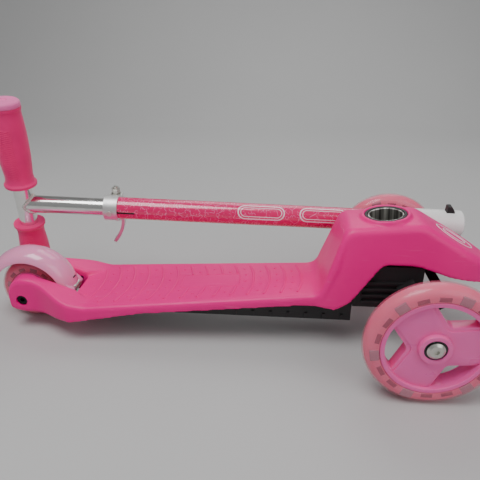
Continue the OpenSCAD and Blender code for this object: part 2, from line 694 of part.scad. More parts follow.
// Cam lever, open: its curved blade hangs below the cam
module at_cam() at_bar() translate([skewer_x, skewer_y, cam_z]) children();
module cam_lever() color("silver") at_cam() difference() {
    union() {
        across(7, 6);
        rotate([90, 0, 0]) translate([0, 0, -5]) linear_extrude(10)
            polygon(concat([[-3, -2], [6, -2]],
                [for (k = [0:10]) [9 - 14 * pow(k / 10, 2), -4 - 38 * k / 10]],
                [for (k = [10:-1:0]) [5 - 14 * pow(k / 10, 2), -4 - 36 * k / 10]]));
    }
    across(2.05, 10);
    across(6.2, 3.5);
    translate([-16, -3.5, -3.5]) cube([19.5, 7, 30]);
}
module lever_pin() color("silver") at_cam() across(2, 7.5);
module upper_tube() color("silver") at_bar() difference() {
    along_x(bar_r - 1.5, inner_reach, bar_r);
    along_x(-5, inner_reach + 20, bar_r - tube_wall);
    cylinder(r = bar_r, h = 60, center = true);
}
module crossbar() color("silver") at_bar() difference() {
    cylinder(r = bar_r, h = 2 * bar_half - 8, center = true);
    cylinder(r = bar_r - tube_wall, h = 2 * bar_half, center = true);
}
module weld_bead() color("silver") at_bar() difference() {
    along_x(bar_r - 3.5, 5, bar_r + 1.8);
    along_x(0, 20, bar_r);
    cylinder(r = bar_r, h = 60, center = true);
}
module grip() {
    waist = bar_r + 5.5;
    difference() {
        rotate_extrude()
            polygon([[0, flange_x], [grip_r, flange_x], [grip_r, flange_x + 3], [waist + 1, flange_x + 6],
                [waist, flange_x + 14], [grip_r - 1, flange_x + 38], [grip_r - 0.6, flange_x + 55],
                [waist + 1, bar_half - 24], [waist + 0.4, bar_half - 17], [grip_r - 1, bar_half - 11],
                [grip_r - 1, bar_half - 4], [grip_r - 5, bar_half], [0, bar_half]]);
        cylinder(r = bar_r, h = bar_half - 4);
    }
}
module grip_left() color("hotpink") at_bar() grip();
module grip_right() color("hotpink") at_bar() rotate([180, 0, 0]) grip();

in_frame() {
    deck_shell();
    rear_fork();
    front_housing();
    under_tray();
    tray_screws();
    stem_socket();
    socket_collar();
    front_bracket();
    kingpins();
    kingpin_nuts();
    bracket_bolts();
    steer_spring(1);  // steer_spring_left
    steer_spring(-1);  // steer_spring_right
    rear_axle_bolt();
    rear_axle_nut();
    rear_spacers();
    fender_pin();
    brake_spring();
    steering_arm(1);  // steering_arm_left
    steering_arm(-1);  // steering_arm_right
    axle_bolt(1);  // axle_bolt_left
    axle_bolt(-1);  // axle_bolt_right
    axle_washers(1);  // axle_washers_left
    axle_washers(-1);  // axle_washers_right
    hub_sleeve(1);  // hub_sleeve_left
    hub_sleeve(-1);  // hub_sleeve_right
    tie_rod();
    tie_rod_pins();
    front_core(1);  // front_core_left
    front_core(-1);  // front_core_right
    front_tyre(1);  // front_tyre_left
    front_tyre(-1);  // front_tyre_right
    front_bearings(1);  // front_bearings_left
    front_bearings(-1);  // front_bearings_right
    front_lights(1);  // front_lights_left
    front_lights(-1);  // front_lights_right
    rear_core();
    rear_tyre();
    rear_bearings();
    rear_lights();
    rear_hub_sleeve();
    fender_brake();
    brake_block();
    lower_tube();
    tube_plug();
    tube_shim();
    clamp_band();
    clamp_key_screw();
    clamp_skewer();
    skewer_nut();
    button_spring();
    release_button();
    cam_lever();
    lever_pin();
    upper_tube();
    crossbar();
    weld_bead();
    grip_left();
    grip_right();
}
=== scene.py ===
"""Looks of a child's three-wheel kick scooter, laid out as an add-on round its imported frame.

Every object is in metres in the frame's own axes: X forward, Y to the rider's left, Z up.
"""

import json
import math

import bmesh
import bpy
from bpy.props import FloatProperty, FloatVectorProperty, IntProperty, PointerProperty
from mathutils import Matrix, Vector


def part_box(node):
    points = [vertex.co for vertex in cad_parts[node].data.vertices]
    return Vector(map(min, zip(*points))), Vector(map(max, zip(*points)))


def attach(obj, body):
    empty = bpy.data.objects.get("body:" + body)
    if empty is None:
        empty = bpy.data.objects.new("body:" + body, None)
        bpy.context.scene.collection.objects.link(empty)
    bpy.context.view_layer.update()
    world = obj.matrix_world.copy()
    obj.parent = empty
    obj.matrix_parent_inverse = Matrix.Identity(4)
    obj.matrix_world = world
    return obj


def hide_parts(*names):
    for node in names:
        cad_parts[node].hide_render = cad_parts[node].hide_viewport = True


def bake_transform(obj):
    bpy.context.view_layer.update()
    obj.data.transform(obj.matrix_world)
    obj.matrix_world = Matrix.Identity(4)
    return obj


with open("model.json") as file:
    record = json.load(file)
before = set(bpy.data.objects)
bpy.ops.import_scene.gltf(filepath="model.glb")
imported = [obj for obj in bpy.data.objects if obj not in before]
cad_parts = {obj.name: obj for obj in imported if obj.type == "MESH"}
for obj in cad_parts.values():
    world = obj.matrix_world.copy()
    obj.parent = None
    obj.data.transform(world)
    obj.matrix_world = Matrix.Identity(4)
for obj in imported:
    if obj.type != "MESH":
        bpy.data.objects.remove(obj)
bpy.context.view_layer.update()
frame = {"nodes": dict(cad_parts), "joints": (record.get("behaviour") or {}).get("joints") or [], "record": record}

bl_info = {
    "name": "Kick scooter",
    "version": (1, 0, 0),
    "blender": (4, 5, 0),
    "location": "View3D > Sidebar > Scooter",
    "description": "Builds the visible pieces and finishes of a three-wheel kick scooter",
    "category": "Object",
}

MM = 0.001
DEG = math.pi / 180
TAU = 2 * math.pi
TINY = 1e-7


# ---- Places taken from the frame ----

RECORD = frame["record"]
JOINTS = {joint["name"]: joint for joint in frame["joints"]}
MOUNTS = {mount["name"]: mount for mount in RECORD["mounts"]}


def centre(node):
    low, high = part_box(node)
    return (Vector(low) + Vector(high)) / 2


def extent(node):
    low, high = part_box(node)
    return Vector(high) - Vector(low)


def placed(origin, x_axis, z_axis):
    """A matrix that puts local X and Z along two directions, at an origin."""
    z = Vector(z_axis).normalized()
    x = Vector(x_axis)
    x = (x - z * x.dot(z)).normalized()
    turn = Matrix((x, z.cross(x), z)).transposed()
    return Matrix.Translation(origin) @ turn.to_4x4()


SIDES = {"left": 1, "right": -1}
AXLE_X = centre("front_tyre_left").x
REAR_AXLE = centre("rear_tyre")
REAR_X = REAR_AXLE.x - AXLE_X
FRONT_R = extent("front_tyre_left").z / 2
REAR_R = extent("rear_tyre").z / 2
SOCKET = placed(MOUNTS["stem_socket"]["pos_m"], (1, 0, 0), MOUNTS["stem_socket"]["axis"])
BAR = placed(centre("crossbar"), -Vector(JOINTS["height_slide"]["axis"]),
             -Vector(JOINTS["button_press"]["axis"]))


def wheel_place(node, side):
    """Local Z of a wheel points out of its face, away from the middle of the scooter."""
    return placed(centre(node), (1, 0, 0), (0, side, 0))


def at_front(x, y, z):
    """A point given from the middle of the front axles' line, on the floor."""
    return Vector((AXLE_X + x, y, z))


# ---- Small curve maths ----

def share(low, high, value):
    """How far a value lies from low to high, held between 0 and 1."""
    return min(max((value - low) / (high - low), 0.0), 1.0)


def smoothstep(low, high, value):
    t = share(low, high, value)
    return t * t * (3 - 2 * t)


def mix(a, b, t):
    return a + (b - a) * t


def filleted(points, radii, steps=6):
    """A line of flat points with rounded corners; radii is one number or one for each corner."""
    corners = [Vector(point) for point in points]
    count = len(corners) - 2
    radii = [radii] * count if isinstance(radii, (int, float)) else radii
    line = [corners[0]]
    for index in range(count):
        before, corner, after = corners[index:index + 3]
        if not radii[index]:
            line.append(corner)
            continue
        one = (before - corner).normalized()
        two = (after - corner).normalized()
        angle = one.angle(two)
        reach = radii[index] / math.tan(angle / 2)
        reach = min(reach, (before - corner).length * 0.48, (after - corner).length * 0.48)
        start, end = corner + one * reach, corner + two * reach
        for step in range(steps + 1):
            t = step / steps
            line.append(start * (1 - t) ** 2 + corner * 2 * t * (1 - t) + end * t * t)
    line.append(corners[-1])
    return line


def height_on(line, x):
    """Height of a line whose points run one way along X, at one x."""
    for one, two in zip(line, line[1:]):
        low, high = min(one.x, two.x), max(one.x, two.x)
        if low <= x <= high and high > low:
            return mix(one.y, two.y, (x - one.x) / (two.x - one.x))
    return line[0].y if abs(x - line[0].x) < abs(x - line[-1].x) else line[-1].y


def resampled(line, spacing):
    """Points at an even spacing along a flat line."""
    result = [line[0]]
    left = spacing
    for one, two in zip(line, line[1:]):
        length = (two - one).length
        place = left
        while place <= length:
            result.append(one.lerp(two, place / length))
            place += spacing
        left = place - length
    if (result[-1] - line[-1]).length > spacing * 0.3:
        result.append(line[-1])
    return result


# ---- Mesh building ----

def new_piece(name, mesh):
    piece = bpy.data.objects.new(name, mesh)
    bpy.context.scene.collection.objects.link(piece)
    return piece


def mesh_from(name, points, faces, place=None, edges=()):
    mesh = bpy.data.meshes.new(name)
    mesh.from_pydata([tuple(point) for point in points], list(edges), faces)
    if place is not None:
        mesh.transform(place)
    mesh.update()
    return mesh


def outward(mesh):
    """Merges doubled points and turns every face outwards."""
    work = bmesh.new()
    work.from_mesh(mesh)
    bmesh.ops.remove_doubles(work, verts=work.verts, dist=10 * TINY)
    bmesh.ops.recalc_face_normals(work, faces=work.faces)
    work.to_mesh(mesh)
    work.free()
    return mesh


def smooth(mesh, angle=35):
    mesh.shade_smooth()
    mesh.set_sharp_from_angle(angle=angle * DEG)


def baked(piece):
    """The piece's evaluated mesh as a plain object; the one with live modifiers is removed."""
    graph = bpy.context.evaluated_depsgraph_get()
    mesh = bpy.data.meshes.new_from_object(piece.evaluated_get(graph), depsgraph=graph)
    name = piece.name
    bpy.data.objects.remove(piece)
    mesh.name = name
    return new_piece(name, mesh)


def soften_edges(piece, width, segments, angle):
    """Rounds every edge that is sharper than an angle in degrees."""
    bevel = piece.modifiers.new("soft edges", "BEVEL")
    bevel.width = width
    bevel.segments = segments
    bevel.limit_method = "ANGLE"
    bevel.angle_limit = angle * DEG


def thicken(piece, thickness):
    """Gives a sheet its wall, on the inner side."""
    wall = piece.modifiers.new("wall", "SOLIDIFY")
    wall.thickness = thickness
    wall.offset = -1


def lathe(name, profile, segments=96, place=None, closed=False):
    """Turns a profile of (radius, height) round local Z. Its UV map holds arc length and height."""
    profile = [tuple(point) for point in profile]
    widest = max(radius for radius, height in profile)
    points, rings = [], []
    for radius, height in profile:
        if radius < TINY:
            rings.append([len(points)] * segments)
            points.append((0, 0, height))
            continue
        rings.append([len(points) + k for k in range(segments)])
        for k in range(segments):
            angle = TAU * k / segments
            points.append((radius * math.cos(angle), radius * math.sin(angle), height))
    faces, spots = [], []
    pairs = list(zip(range(len(rings)), range(1, len(rings))))
    if closed:
        pairs.append((len(rings) - 1, 0))
    along = [0.0]
    for one, two in zip(profile, profile[1:]):
        along.append(along[-1] + math.dist(one, two))
    along.append(along[-1] + math.dist(profile[-1], profile[0]))
    for low, high in pairs:
        top = high if high else len(rings)
        for k in range(segments):
            after = (k + 1) % segments
            corners = [(rings[low][k], k, along[low]), (rings[low][after], k + 1, along[low]),
                       (rings[high][after], k + 1, along[top]), (rings[high][k], k, along[top])]
            kept = []
            for corner in corners:
                if corner[0] not in [other[0] for other in kept]:
                    kept.append(corner)
            if len(kept) > 2:
                faces.append([corner[0] for corner in kept])
                spots.extend((corner[1] * TAU / segments * widest, corner[2]) for corner in kept)
    mesh = mesh_from(name, points, faces)
    layer = mesh.uv_layers.new(name="surface")
    for loop, spot in zip(layer.data, spots):
        loop.uv = spot
    outward(mesh)
    if place is not None:
        mesh.transform(place)
    smooth(mesh)
    return new_piece(name, mesh)


def loft(name, rings, place=None, closed=False, caps=False):
    """Joins rows of points, one row to the next; closed joins each row's ends."""
    width = len(rings[0])
    points = [point for ring in rings for point in ring]
    last = width if closed else width - 1
    faces = []
    for row in range(len(rings) - 1):
        for k in range(last):
            after = (k + 1) % width
            faces.append((row * width + k, row * width + after,
                          (row + 1) * width + after, (row + 1) * width + k))
    if caps:
        faces.append(tuple(range(width)))
        faces.append(tuple((len(rings) - 1) * width + k for k in range(width)))
    return outward(mesh_from(name, points, faces, place))


def cut(piece, cutters):
    """Cuts closed shapes out of a piece and removes them."""
    for cutter in cutters:
        modifier = piece.modifiers.new("cut", "BOOLEAN")
        modifier.object = cutter
        modifier.solver = "EXACT"
    result = baked(piece)
    for cutter in cutters:
        bpy.data.objects.remove(cutter)
    return result


def joined(name, pieces):
    """One object from several, with every material kept."""
    work = bmesh.new()
    materials = []
    for piece in pieces:
        mesh = piece.data
        offset = {}
        for index, material in enumerate(mesh.materials):
            if material not in materials:
                materials.append(material)
            offset[index] = materials.index(material)
        before = len(work.faces)
        work.from_mesh(mesh)
        work.faces.ensure_lookup_table()
        for face in work.faces[before:]:
            face.material_index = offset.get(face.material_index, 0)
    mesh = bpy.data.meshes.new(name)
    work.to_mesh(mesh)
    work.free()
    for material in materials:
        mesh.materials.append(material)
    for piece in pieces:
        bpy.data.objects.remove(piece)
    return new_piece(name, mesh)


def settle(piece, body, material=None, nodes=()):
    """Gives a finished piece its finish, its body and the CAD nodes it stands for."""
    if material is not None:
        piece.data.materials.clear()
        piece.data.materials.append(material)
    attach(piece, body)
    if nodes:
        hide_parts(*nodes)
    return piece


# ---- Node trees ----

# Sockets that are reached by their number, because their names are shared or change.
UV_OUT, OBJECT_OUT = 2, 3
NOISE_COLOUR_OUT = 1
MIX_FACTOR, MIX_ONE, MIX_TWO, MIX_COLOUR_OUT = 0, 6, 7, 2

class Value:
    """A socket that can be used in arithmetic: each operator adds a Math node."""

    def __init__(self, graph, socket):
        self.graph = graph
        self.socket = socket

    def math(self, operation, *others):
        return self.graph.add("ShaderNodeMath", {"operation": operation},
                              dict(enumerate((self,) + others)))

    def __add__(self, other):
        return self.math("ADD", other)

    __radd__ = __add__

    def __mul__(self, other):
        return self.math("MULTIPLY", other)

    __rmul__ = __mul__

    def __sub__(self, other):
        return self.math("SUBTRACT", other)

    def __rsub__(self, other):
        return self.graph.add("ShaderNodeMath", {"operation": "SUBTRACT"}, {0: other, 1: self})

    def __truediv__(self, other):
        return self.math("DIVIDE", other)

    def between(self, low, high):
        """0 below low, 1 above high, and a straight ramp from one to the other."""
        return self.graph.add("ShaderNodeMapRange", {"clamp": True},
                              {"Value": self, "From Min": low, "From Max": high})

    def part(self, axis):
        """One part, X, Y or Z, of a vector."""
        return self.graph.add("ShaderNodeSeparateXYZ", {}, {0: self}, axis)


class Graph:
    """A node tree under construction."""

    def __init__(self, tree):
        self.tree = tree

    def add(self, kind, settings=None, sockets=None, output=0):
        """Adds a node: its settings first, then the values or links of its sockets."""
        node = self.tree.nodes.new(kind)
        for key, setting in (settings or {}).items():
            setattr(node, key, setting)
        for key, value in (sockets or {}).items():
            if isinstance(value, Value):
                self.tree.links.new(value.socket, node.inputs[key])
            else:
                node.inputs[key].default_value = value
        return Value(self, node.outputs[output]) if len(node.outputs) else node

    def noise(self, vector, scale, detail=2.0):
        return self.add("ShaderNodeTexNoise", {},
                        {"Vector": vector, "Scale": scale, "Detail": detail})

    def blend(self, factor, one, two):
        return self.add("ShaderNodeMix", {"data_type": "RGBA"},
                        {MIX_FACTOR: factor, MIX_ONE: one, MIX_TWO: two}, MIX_COLOUR_OUT)

    def stretched(self, vector, scale):
        return self.add("ShaderNodeMapping", {}, {"Vector": vector, "Scale": scale})

    def bump(self, height, distance, strength=1.0):
        return self.add("ShaderNodeBump", {},
                        {"Height": height, "Distance": distance, "Strength": strength})


def colour(red, green, blue):
    """An sRGB colour of 0 to 255 as the linear one that a shader takes."""
    def linear(value):
        value /= 255
        return value / 12.92 if value <= 0.04045 else ((value + 0.055) / 1.055) ** 2.4
    return (linear(red), linear(green), linear(blue), 1.0)


def darker(tint, amount):
    return tuple(channel * amount for channel in tint[:3]) + (1.0,)


# ---- Materials ----

def start(name, coordinates=OBJECT_OUT):
    """An empty material, its tree and the coordinates that its pattern reads."""
    material = bpy.data.materials.new(name)
    material.use_nodes = True
    material.node_tree.nodes.clear()
    graph = Graph(material.node_tree)
    return material, graph, graph.add("ShaderNodeTexCoord", output=coordinates)


def end(material, graph, **sockets):
    """Closes a material with one Principled shader; a name's underscores stand for spaces."""
    named = {key.replace("_", " "): value for key, value in sockets.items()}
    shader = graph.add("ShaderNodeBsdfPrincipled", {}, named)
    graph.add("ShaderNodeOutputMaterial", {}, {"Surface": shader})
    return material


def moulded_plastic(name, tint, rough=0.42, grain=0.03 * MM, mottle=0.9, **more):
    """Injection-moulded plastic: fine grain from the tool, cloudy tone and a few rubbed streaks."""
    material, graph, place = start(name)
    cloud = graph.noise(place, 14.0, 3.0).between(0.3, 0.7)
    rubbed = graph.noise(graph.stretched(place, (25, 260, 260)), 1.0, 4.0).between(0.62, 0.8)
    base = graph.blend(cloud, darker(tint, mottle), tint)
    pale = tuple(mix(channel, 1.0, 0.25) for channel in tint[:3]) + (1.0,)
    worn = graph.blend(rubbed * 0.22, base, pale)
    fine = graph.noise(place, 2600.0, 1.0)
    uneven = graph.noise(place, 45.0, 3.0)
    return end(material, graph, Base_Color=worn,
               Roughness=rough + (uneven - 0.5) * 0.16 + rubbed * 0.08,
               Normal=graph.bump(fine, grain, 0.6), **more)


def bright_metal(name, tint, rough, streak=(400, 400, 12), depth=0.01 * MM, stains=0.25):
    """Plated or polished metal, with faint drawn lines and slightly dull patches."""
    material, graph, place = start(name)
    lines = graph.noise(graph.stretched(place, streak), 1.0, 2.0)
    patch = graph.noise(place, 60.0, 4.0).between(0.5, 0.75)
    base = graph.blend(patch * stains, tint, darker(tint, 0.62))
    return end(material, graph, Base_Color=base, Metallic=1.0,
               Roughness=rough + patch * 0.12 + lines * 0.05,
               Normal=graph.bump(lines, depth, 0.5))


def tyre_skin(name, tint):
    """Clear outer layer of a cast polyurethane tyre, with dust and fine scuffs on the tread."""
    material, graph, place = start(name)
    dust = graph.noise(place, 90.0, 4.0).between(0.55, 0.8)
    cloud = graph.noise(place, 20.0, 2.0)
    base = graph.blend(cloud, tint, darker(tint, 0.93))
    return end(material, graph, Base_Color=base, Roughness=0.13 + dust * 0.2,
               Alpha=0.26 + dust * 0.08, Coat_Weight=0.6, Coat_Roughness=0.06,
               Normal=graph.bump(graph.noise(place, 700.0, 2.0), 0.02 * MM, 0.3))


def grip_rubber(name, tint):
    """Soft matt rubber with a fine pimpled grain and a cloudy tone, paler in places."""
    material, graph, place = start(name)
    cloud = graph.noise(place, 30.0, 3.0).between(0.35, 0.7)
    base = graph.blend(cloud, darker(tint, 0.88), tint)
    grain = graph.add("ShaderNodeTexVoronoi", {}, {"Vector": place, "Scale": 1500.0})
    return end(material, graph, Base_Color=base, Roughness=0.6 + cloud * 0.1,
               Normal=graph.bump(grain, 0.05 * MM, 0.5), Sheen_Weight=0.25, Sheen_Roughness=0.4)


def painted_tube(name, tint, line):
    """Gloss paint under a printed pattern of small pale rings, broken lines and long outlines."""
    material, graph, place = start(name)
    surface = graph.add("ShaderNodeTexCoord", output=UV_OUT)
    wobble = graph.add("ShaderNodeTexNoise", {},
                       {"Vector": surface, "Scale": 60.0, "Detail": 2.0}, NOISE_COLOUR_OUT)
    bent = graph.add("ShaderNodeVectorMath", {"operation": "MULTIPLY_ADD"},
                     {0: wobble, 1: (0.012, 0.012, 0.0), 2: surface})
    flat = {"voronoi_dimensions": "2D"}
    cell_edge = graph.add("ShaderNodeTexVoronoi", {**flat, "feature": "DISTANCE_TO_EDGE"},
                          {"Vector": bent, "Scale": 85.0})
    scribble = 1 - cell_edge.between(0.015, 0.045)
    broken = graph.noise(surface, 150.0, 1.0).between(0.47, 0.53)
    spot = graph.add("ShaderNodeTexVoronoi", {**flat, "feature": "F1"},
                     {"Vector": surface, "Scale": 150.0})
    ring = 1 - (spot - 0.3).math("ABSOLUTE").between(0.035, 0.075)
    doodle = (scribble * broken).math("MAXIMUM", ring * (1 - broken) * 0.8)
    around, along = surface.part(0), surface.part(1)
    pitch, half, radius, width = 78 * MM, 20 * MM, 9 * MM, 0.55 * MM
    first, last = 160 * MM, 310 * MM
    facing = TAU * 14 * MM * 0.64
    step = ((along - first) / pitch).math("FRACT") * pitch - pitch / 2
    reach = (step.math("ABSOLUTE") - half).math("MAXIMUM", 0.0)
    side = around - facing
    distance = (reach * reach + side * side).math("SQRT") - radius
    outline = 1 - distance.math("ABSOLUTE").between(width, width * 1.8)
    core = 1 - (distance + 3.2 * MM).math("ABSOLUTE").between(width * 0.5, width * 1.2)
    window = along.between(first, first + MM) * (1 - along.between(last - MM, last))
    band = (outline.math("MAXIMUM", core) * window).math("MINIMUM", 1.0)
    cloud = graph.noise(place, 25.0, 2.0)
    base = graph.blend(cloud, tint, darker(tint, 0.82))
    printed = graph.blend(doodle * 0.62, base, line)
    marked = graph.blend(band * 0.92, printed, (1.0, 0.86, 0.92, 1.0))
    return end(material, graph, Base_Color=marked, Roughness=0.2 + cloud * 0.06,
               Coat_Weight=0.8, Coat_Roughness=0.05,
               Normal=graph.bump(graph.noise(place, 320.0, 2.0), 0.02 * MM, 0.25))


def fluted_chrome_painted_reflections(name):
    """Chromed liner with dark and bright bands down its bore: painted reflections in the base colour, which also
    give faint flutes in the bump.
    """
    material, graph, surface = start(name, UV_OUT)
    band = graph.noise(graph.stretched(surface, (190, 6, 1)), 1.0, 1.0).between(0.38, 0.62)
    # Painted reflections: along the bands the base colour runs from dark to bright.
    base = graph.blend(band, (0.2, 0.19, 0.18, 1.0), (0.86, 0.85, 0.8, 1.0))
    return end(material, graph, Base_Color=base, Metallic=0.9, Roughness=0.28 + band * 0.08,
               Normal=graph.bump(band, 0.25 * MM, 0.7))


def pale_floor(name):
    material, graph, place = start(name)
    cloud = graph.noise(place, 1.6, 3.0)
    base = graph.blend(cloud, (0.50, 0.50, 0.50, 1.0), (0.56, 0.56, 0.555, 1.0))
    return end(material, graph, Base_Color=base, Roughness=0.75,
               Normal=graph.bump(graph.noise(place, 220.0, 3.0), 0.1 * MM, 0.3))


class Finishes:
    """Every material, made once from the colours in the panel."""

    def __init__(self, colours):
        def tint(value):
            return tuple(value) + (1.0,)
        lit = {"Subsurface_Weight": 0.15, "Subsurface_Scale": 0.004}
        self.deck = moulded_plastic("deck pink", tint(colours.deck), rough=0.40, grain=0.035 * MM,
                                    mottle=0.92, Specular_IOR_Level=0.35)
        self.core = moulded_plastic("core pink", tint(colours.core), rough=0.30, grain=0.015 * MM,
                                    mottle=0.93, Coat_Weight=0.3, Coat_Roughness=0.2, **lit)
        self.fender = moulded_plastic("fender pink", tint(colours.fender), rough=0.14,
                                      grain=0.006 * MM, mottle=0.95, Coat_Weight=0.7,
                                      Coat_Roughness=0.06, **lit)
        self.black = moulded_plastic("black nylon", (0.018, 0.017, 0.018, 1.0), rough=0.5,
                                     grain=0.06 * MM, mottle=0.7)
        self.white = moulded_plastic("white plastic", (0.95, 0.94, 0.93, 1.0), rough=0.28,
                                     grain=0.01 * MM, mottle=0.95, Coat_Weight=0.2,
                                     Coat_Roughness=0.2)
        self.print = moulded_plastic("pale print", (0.95, 0.93, 0.94, 1.0), rough=0.3,
                                     grain=0.005 * MM, mottle=0.95)
        self.skin = tyre_skin("tyre skin", tint(colours.tyre))
        self.tyre = moulded_plastic("tyre body", darker(colours.tyre, 0.96), rough=0.35,
                                    grain=0.02 * MM, mottle=0.92, Subsurface_Weight=0.3,
                                    Subsurface_Scale=0.006)
        # Painted shade: this dark pink stands in for the shade inside the tyre's recessed pockets.
        self.painted_pocket_shade = moulded_plastic("tyre pocket", darker(colours.tyre, 0.30), rough=0.4,
                                      grain=0.02 * MM, mottle=0.8)
        self.light = moulded_plastic("light block", (0.42, 0.26, 0.31, 1.0), rough=0.18,
                                     grain=0.01 * MM, mottle=0.7, Coat_Weight=0.6,
                                     Coat_Roughness=0.05)
        self.seal = moulded_plastic("bearing seal", (0.05, 0.048, 0.05, 1.0), rough=0.45,
                                    grain=0.02 * MM, mottle=0.7)
        self.chrome = bright_metal("tube chrome", (0.80, 0.79, 0.77, 1.0), rough=0.14)
        self.weld = bright_metal("weld", (0.74, 0.72, 0.68, 1.0), rough=0.34,
                                 streak=(900, 900, 900), depth=0.08 * MM, stains=0.5)
        self.alloy = bright_metal("cast alloy", (0.78, 0.78, 0.77, 1.0), rough=0.44,
                                  streak=(300, 300, 300), depth=0.03 * MM)
        self.zinc = bright_metal("zinc plate", (0.66, 0.65, 0.60, 1.0), rough=0.28,
                                 streak=(500, 500, 500), depth=0.02 * MM)
        self.coated = bright_metal("black coated steel", (0.03, 0.03, 0.032, 1.0), rough=0.4)
        self.socket = fluted_chrome_painted_reflections("socket liner")
        self.paint = painted_tube("tube paint", tint(colours.tube), tint(colours.line))
        self.grip = grip_rubber("grip rubber", tint(colours.grip))
        self.cap = grip_rubber("grip cap rubber", tint(colours.cap))
        self.block = grip_rubber("brake block rubber", (0.03, 0.03, 0.03, 1.0))


FINISH = {}


def finish():
    """The set of finishes, made when the first piece asks for it."""
    if "set" not in FINISH:
        FINISH["set"] = Finishes(bpy.context.scene.scooter_colours)
    return FINISH["set"]


# ---- Geometry Nodes ----

def tree_of(name, inputs):
    """A geometry tree with a mesh in, named values and a material, and a mesh out."""
    tree = bpy.data.node_groups.new(name, "GeometryNodeTree")
    tree.interface.new_socket("Mesh", in_out="INPUT", socket_type="NodeSocketGeometry")
    for label, (kind, default) in inputs.items():
        socket = tree.interface.new_socket(label, in_out="INPUT", socket_type="NodeSocket" + kind)
        socket.default_value = default
    tree.interface.new_socket("Material", in_out="INPUT", socket_type="NodeSocketMaterial")
    tree.interface.new_socket("Mesh", in_out="OUTPUT", socket_type="NodeSocketGeometry")
    graph = Graph(tree)
    entry = tree.nodes.new("NodeGroupInput")
    values = {socket.name: Value(graph, socket) for socket in entry.outputs if socket.name}
    return tree, graph, values


def close_tree(graph, geometry, values):
    real = graph.add("GeometryNodeRealizeInstances", {}, {0: geometry})
    faced = graph.add("GeometryNodeSetMaterial", {}, {0: real, "Material": values["Material"]})
    graph.add("NodeGroupOutput", {}, {0: faced})


def bead_tree():
    """Sweeps a half-sunk round bead along every edge path."""
    tree, graph, values = tree_of("beads", {"Radius": ("Float", 0.8 * MM), "Sides": ("Int", 8)})
    path = graph.add("GeometryNodeMeshToCurve", {}, {0: values["Mesh"]})
    profile = graph.add("GeometryNodeCurvePrimitiveCircle", {"mode": "RADIUS"},
                        {"Resolution": values["Sides"], "Radius": values["Radius"]})
    swept = graph.add("GeometryNodeCurveToMesh", {},
                      {"Curve": path, "Profile Curve": profile, "Fill Caps": True})
    close_tree(graph, swept, values)
    return tree


def circle_tree():
    """Repeats the mesh round local Z, from a first angle, at an even step."""
    tree, graph, values = tree_of("circle of copies", {
        "Count": ("Int", 6), "First angle": ("Float", 0.0), "Step": ("Float", 1.0)})
    points = graph.add("GeometryNodeMeshLine", {"mode": "OFFSET"},
                       {"Count": values["Count"], "Offset": (0.0, 0.0, 0.0)})
    index = graph.add("GeometryNodeInputIndex")
    turn = graph.add("ShaderNodeCombineXYZ", {},
                     {"Z": index * values["Step"] + values["First angle"]})
    copies = graph.add("GeometryNodeInstanceOnPoints", {},
                       {"Points": points, "Instance": values["Mesh"], "Rotation": turn})
    close_tree(graph, copies, values)
    return tree


def stud_tree():
    """Sets a low round stud on every point."""
    tree, graph, values = tree_of("studs", {"Radius": ("Float", MM), "Height": ("Float", MM)})
    ball = graph.add("GeometryNodeMeshUVSphere", {},
                     {"Segments": 14, "Rings": 8, "Radius": values["Radius"]})
    scale = graph.add("ShaderNodeCombineXYZ", {}, {"X": 1.0, "Y": 1.0,
                      "Z": values["Height"] / values["Radius"]})
    copies = graph.add("GeometryNodeInstanceOnPoints", {},
                       {"Points": values["Mesh"], "Instance": ball, "Scale": scale})
    close_tree(graph, copies, values)
    return tree


TREES = {"beads": bead_tree, "circle": circle_tree, "studs": stud_tree}


def grown(name, mesh, kind, material, place=None, **values):
    """Runs one of the trees on a mesh and gives the result as a plain, smooth piece."""
    if callable(TREES[kind]):
        TREES[kind] = TREES[kind]()
    tree = TREES[kind]
    piece = new_piece(name, mesh)
    modifier = piece.modifiers.new(kind, "NODES")
    modifier.node_group = tree
    named = {key.replace("_", " "): value for key, value in values.items()}
    for item in tree.interface.items_tree:
        if item.in_out == "INPUT" and item.name in named:
            modifier[item.identifier] = named[item.name]
        elif item.in_out == "INPUT" and item.name == "Material":
            modifier[item.identifier] = material
    piece = baked(piece)
    outward(piece.data)
    if place is not None:
        piece.data.transform(place)
    smooth(piece.data, 50)
    return piece


def path_mesh(name, paths, place=None):
    """An edge mesh of several paths; a path whose ends meet is closed."""
    points, edges = [], []
    for path in paths:
        first = len(points)
        ring = (Vector(path[0]) - Vector(path[-1])).length < 10 * TINY
        kept = path[:-1] if ring else path
        points.extend(kept)
        edges.extend((first + k, first + k + 1) for k in range(len(kept) - 1))
        if ring:
            edges.append((first + len(kept) - 1, first))
    return mesh_from(name, points, [], place, edges)


# ---- Settings ----

class DeckSettings(bpy.types.PropertyGroup):
    wall: FloatProperty(name="Wall", description="Wall of the deck moulding",
                        default=3.4 * MM, unit="LENGTH")
    voxel: FloatProperty(name="Joining grain",
                         description="Grain at which the moulding's parts are joined",
                         default=1.5 * MM, unit="LENGTH")
    ridge_step: FloatProperty(name="Ridge spacing",
                              description="Distance between the curved ridges",
                              default=19 * MM, unit="LENGTH")
    ridge_r: FloatProperty(name="Ridge curve", description="Radius of each curved ridge",
                           default=105 * MM, unit="LENGTH")
    ridge_bead: FloatProperty(name="Ridge height",
                              description="Radius of the bead that makes a ridge",
                              default=2.1 * MM, unit="LENGTH")
    stud_r: FloatProperty(name="Stud radius",
                          description="Radius of the small studs between the ridges",
                          default=1.7 * MM, unit="LENGTH")


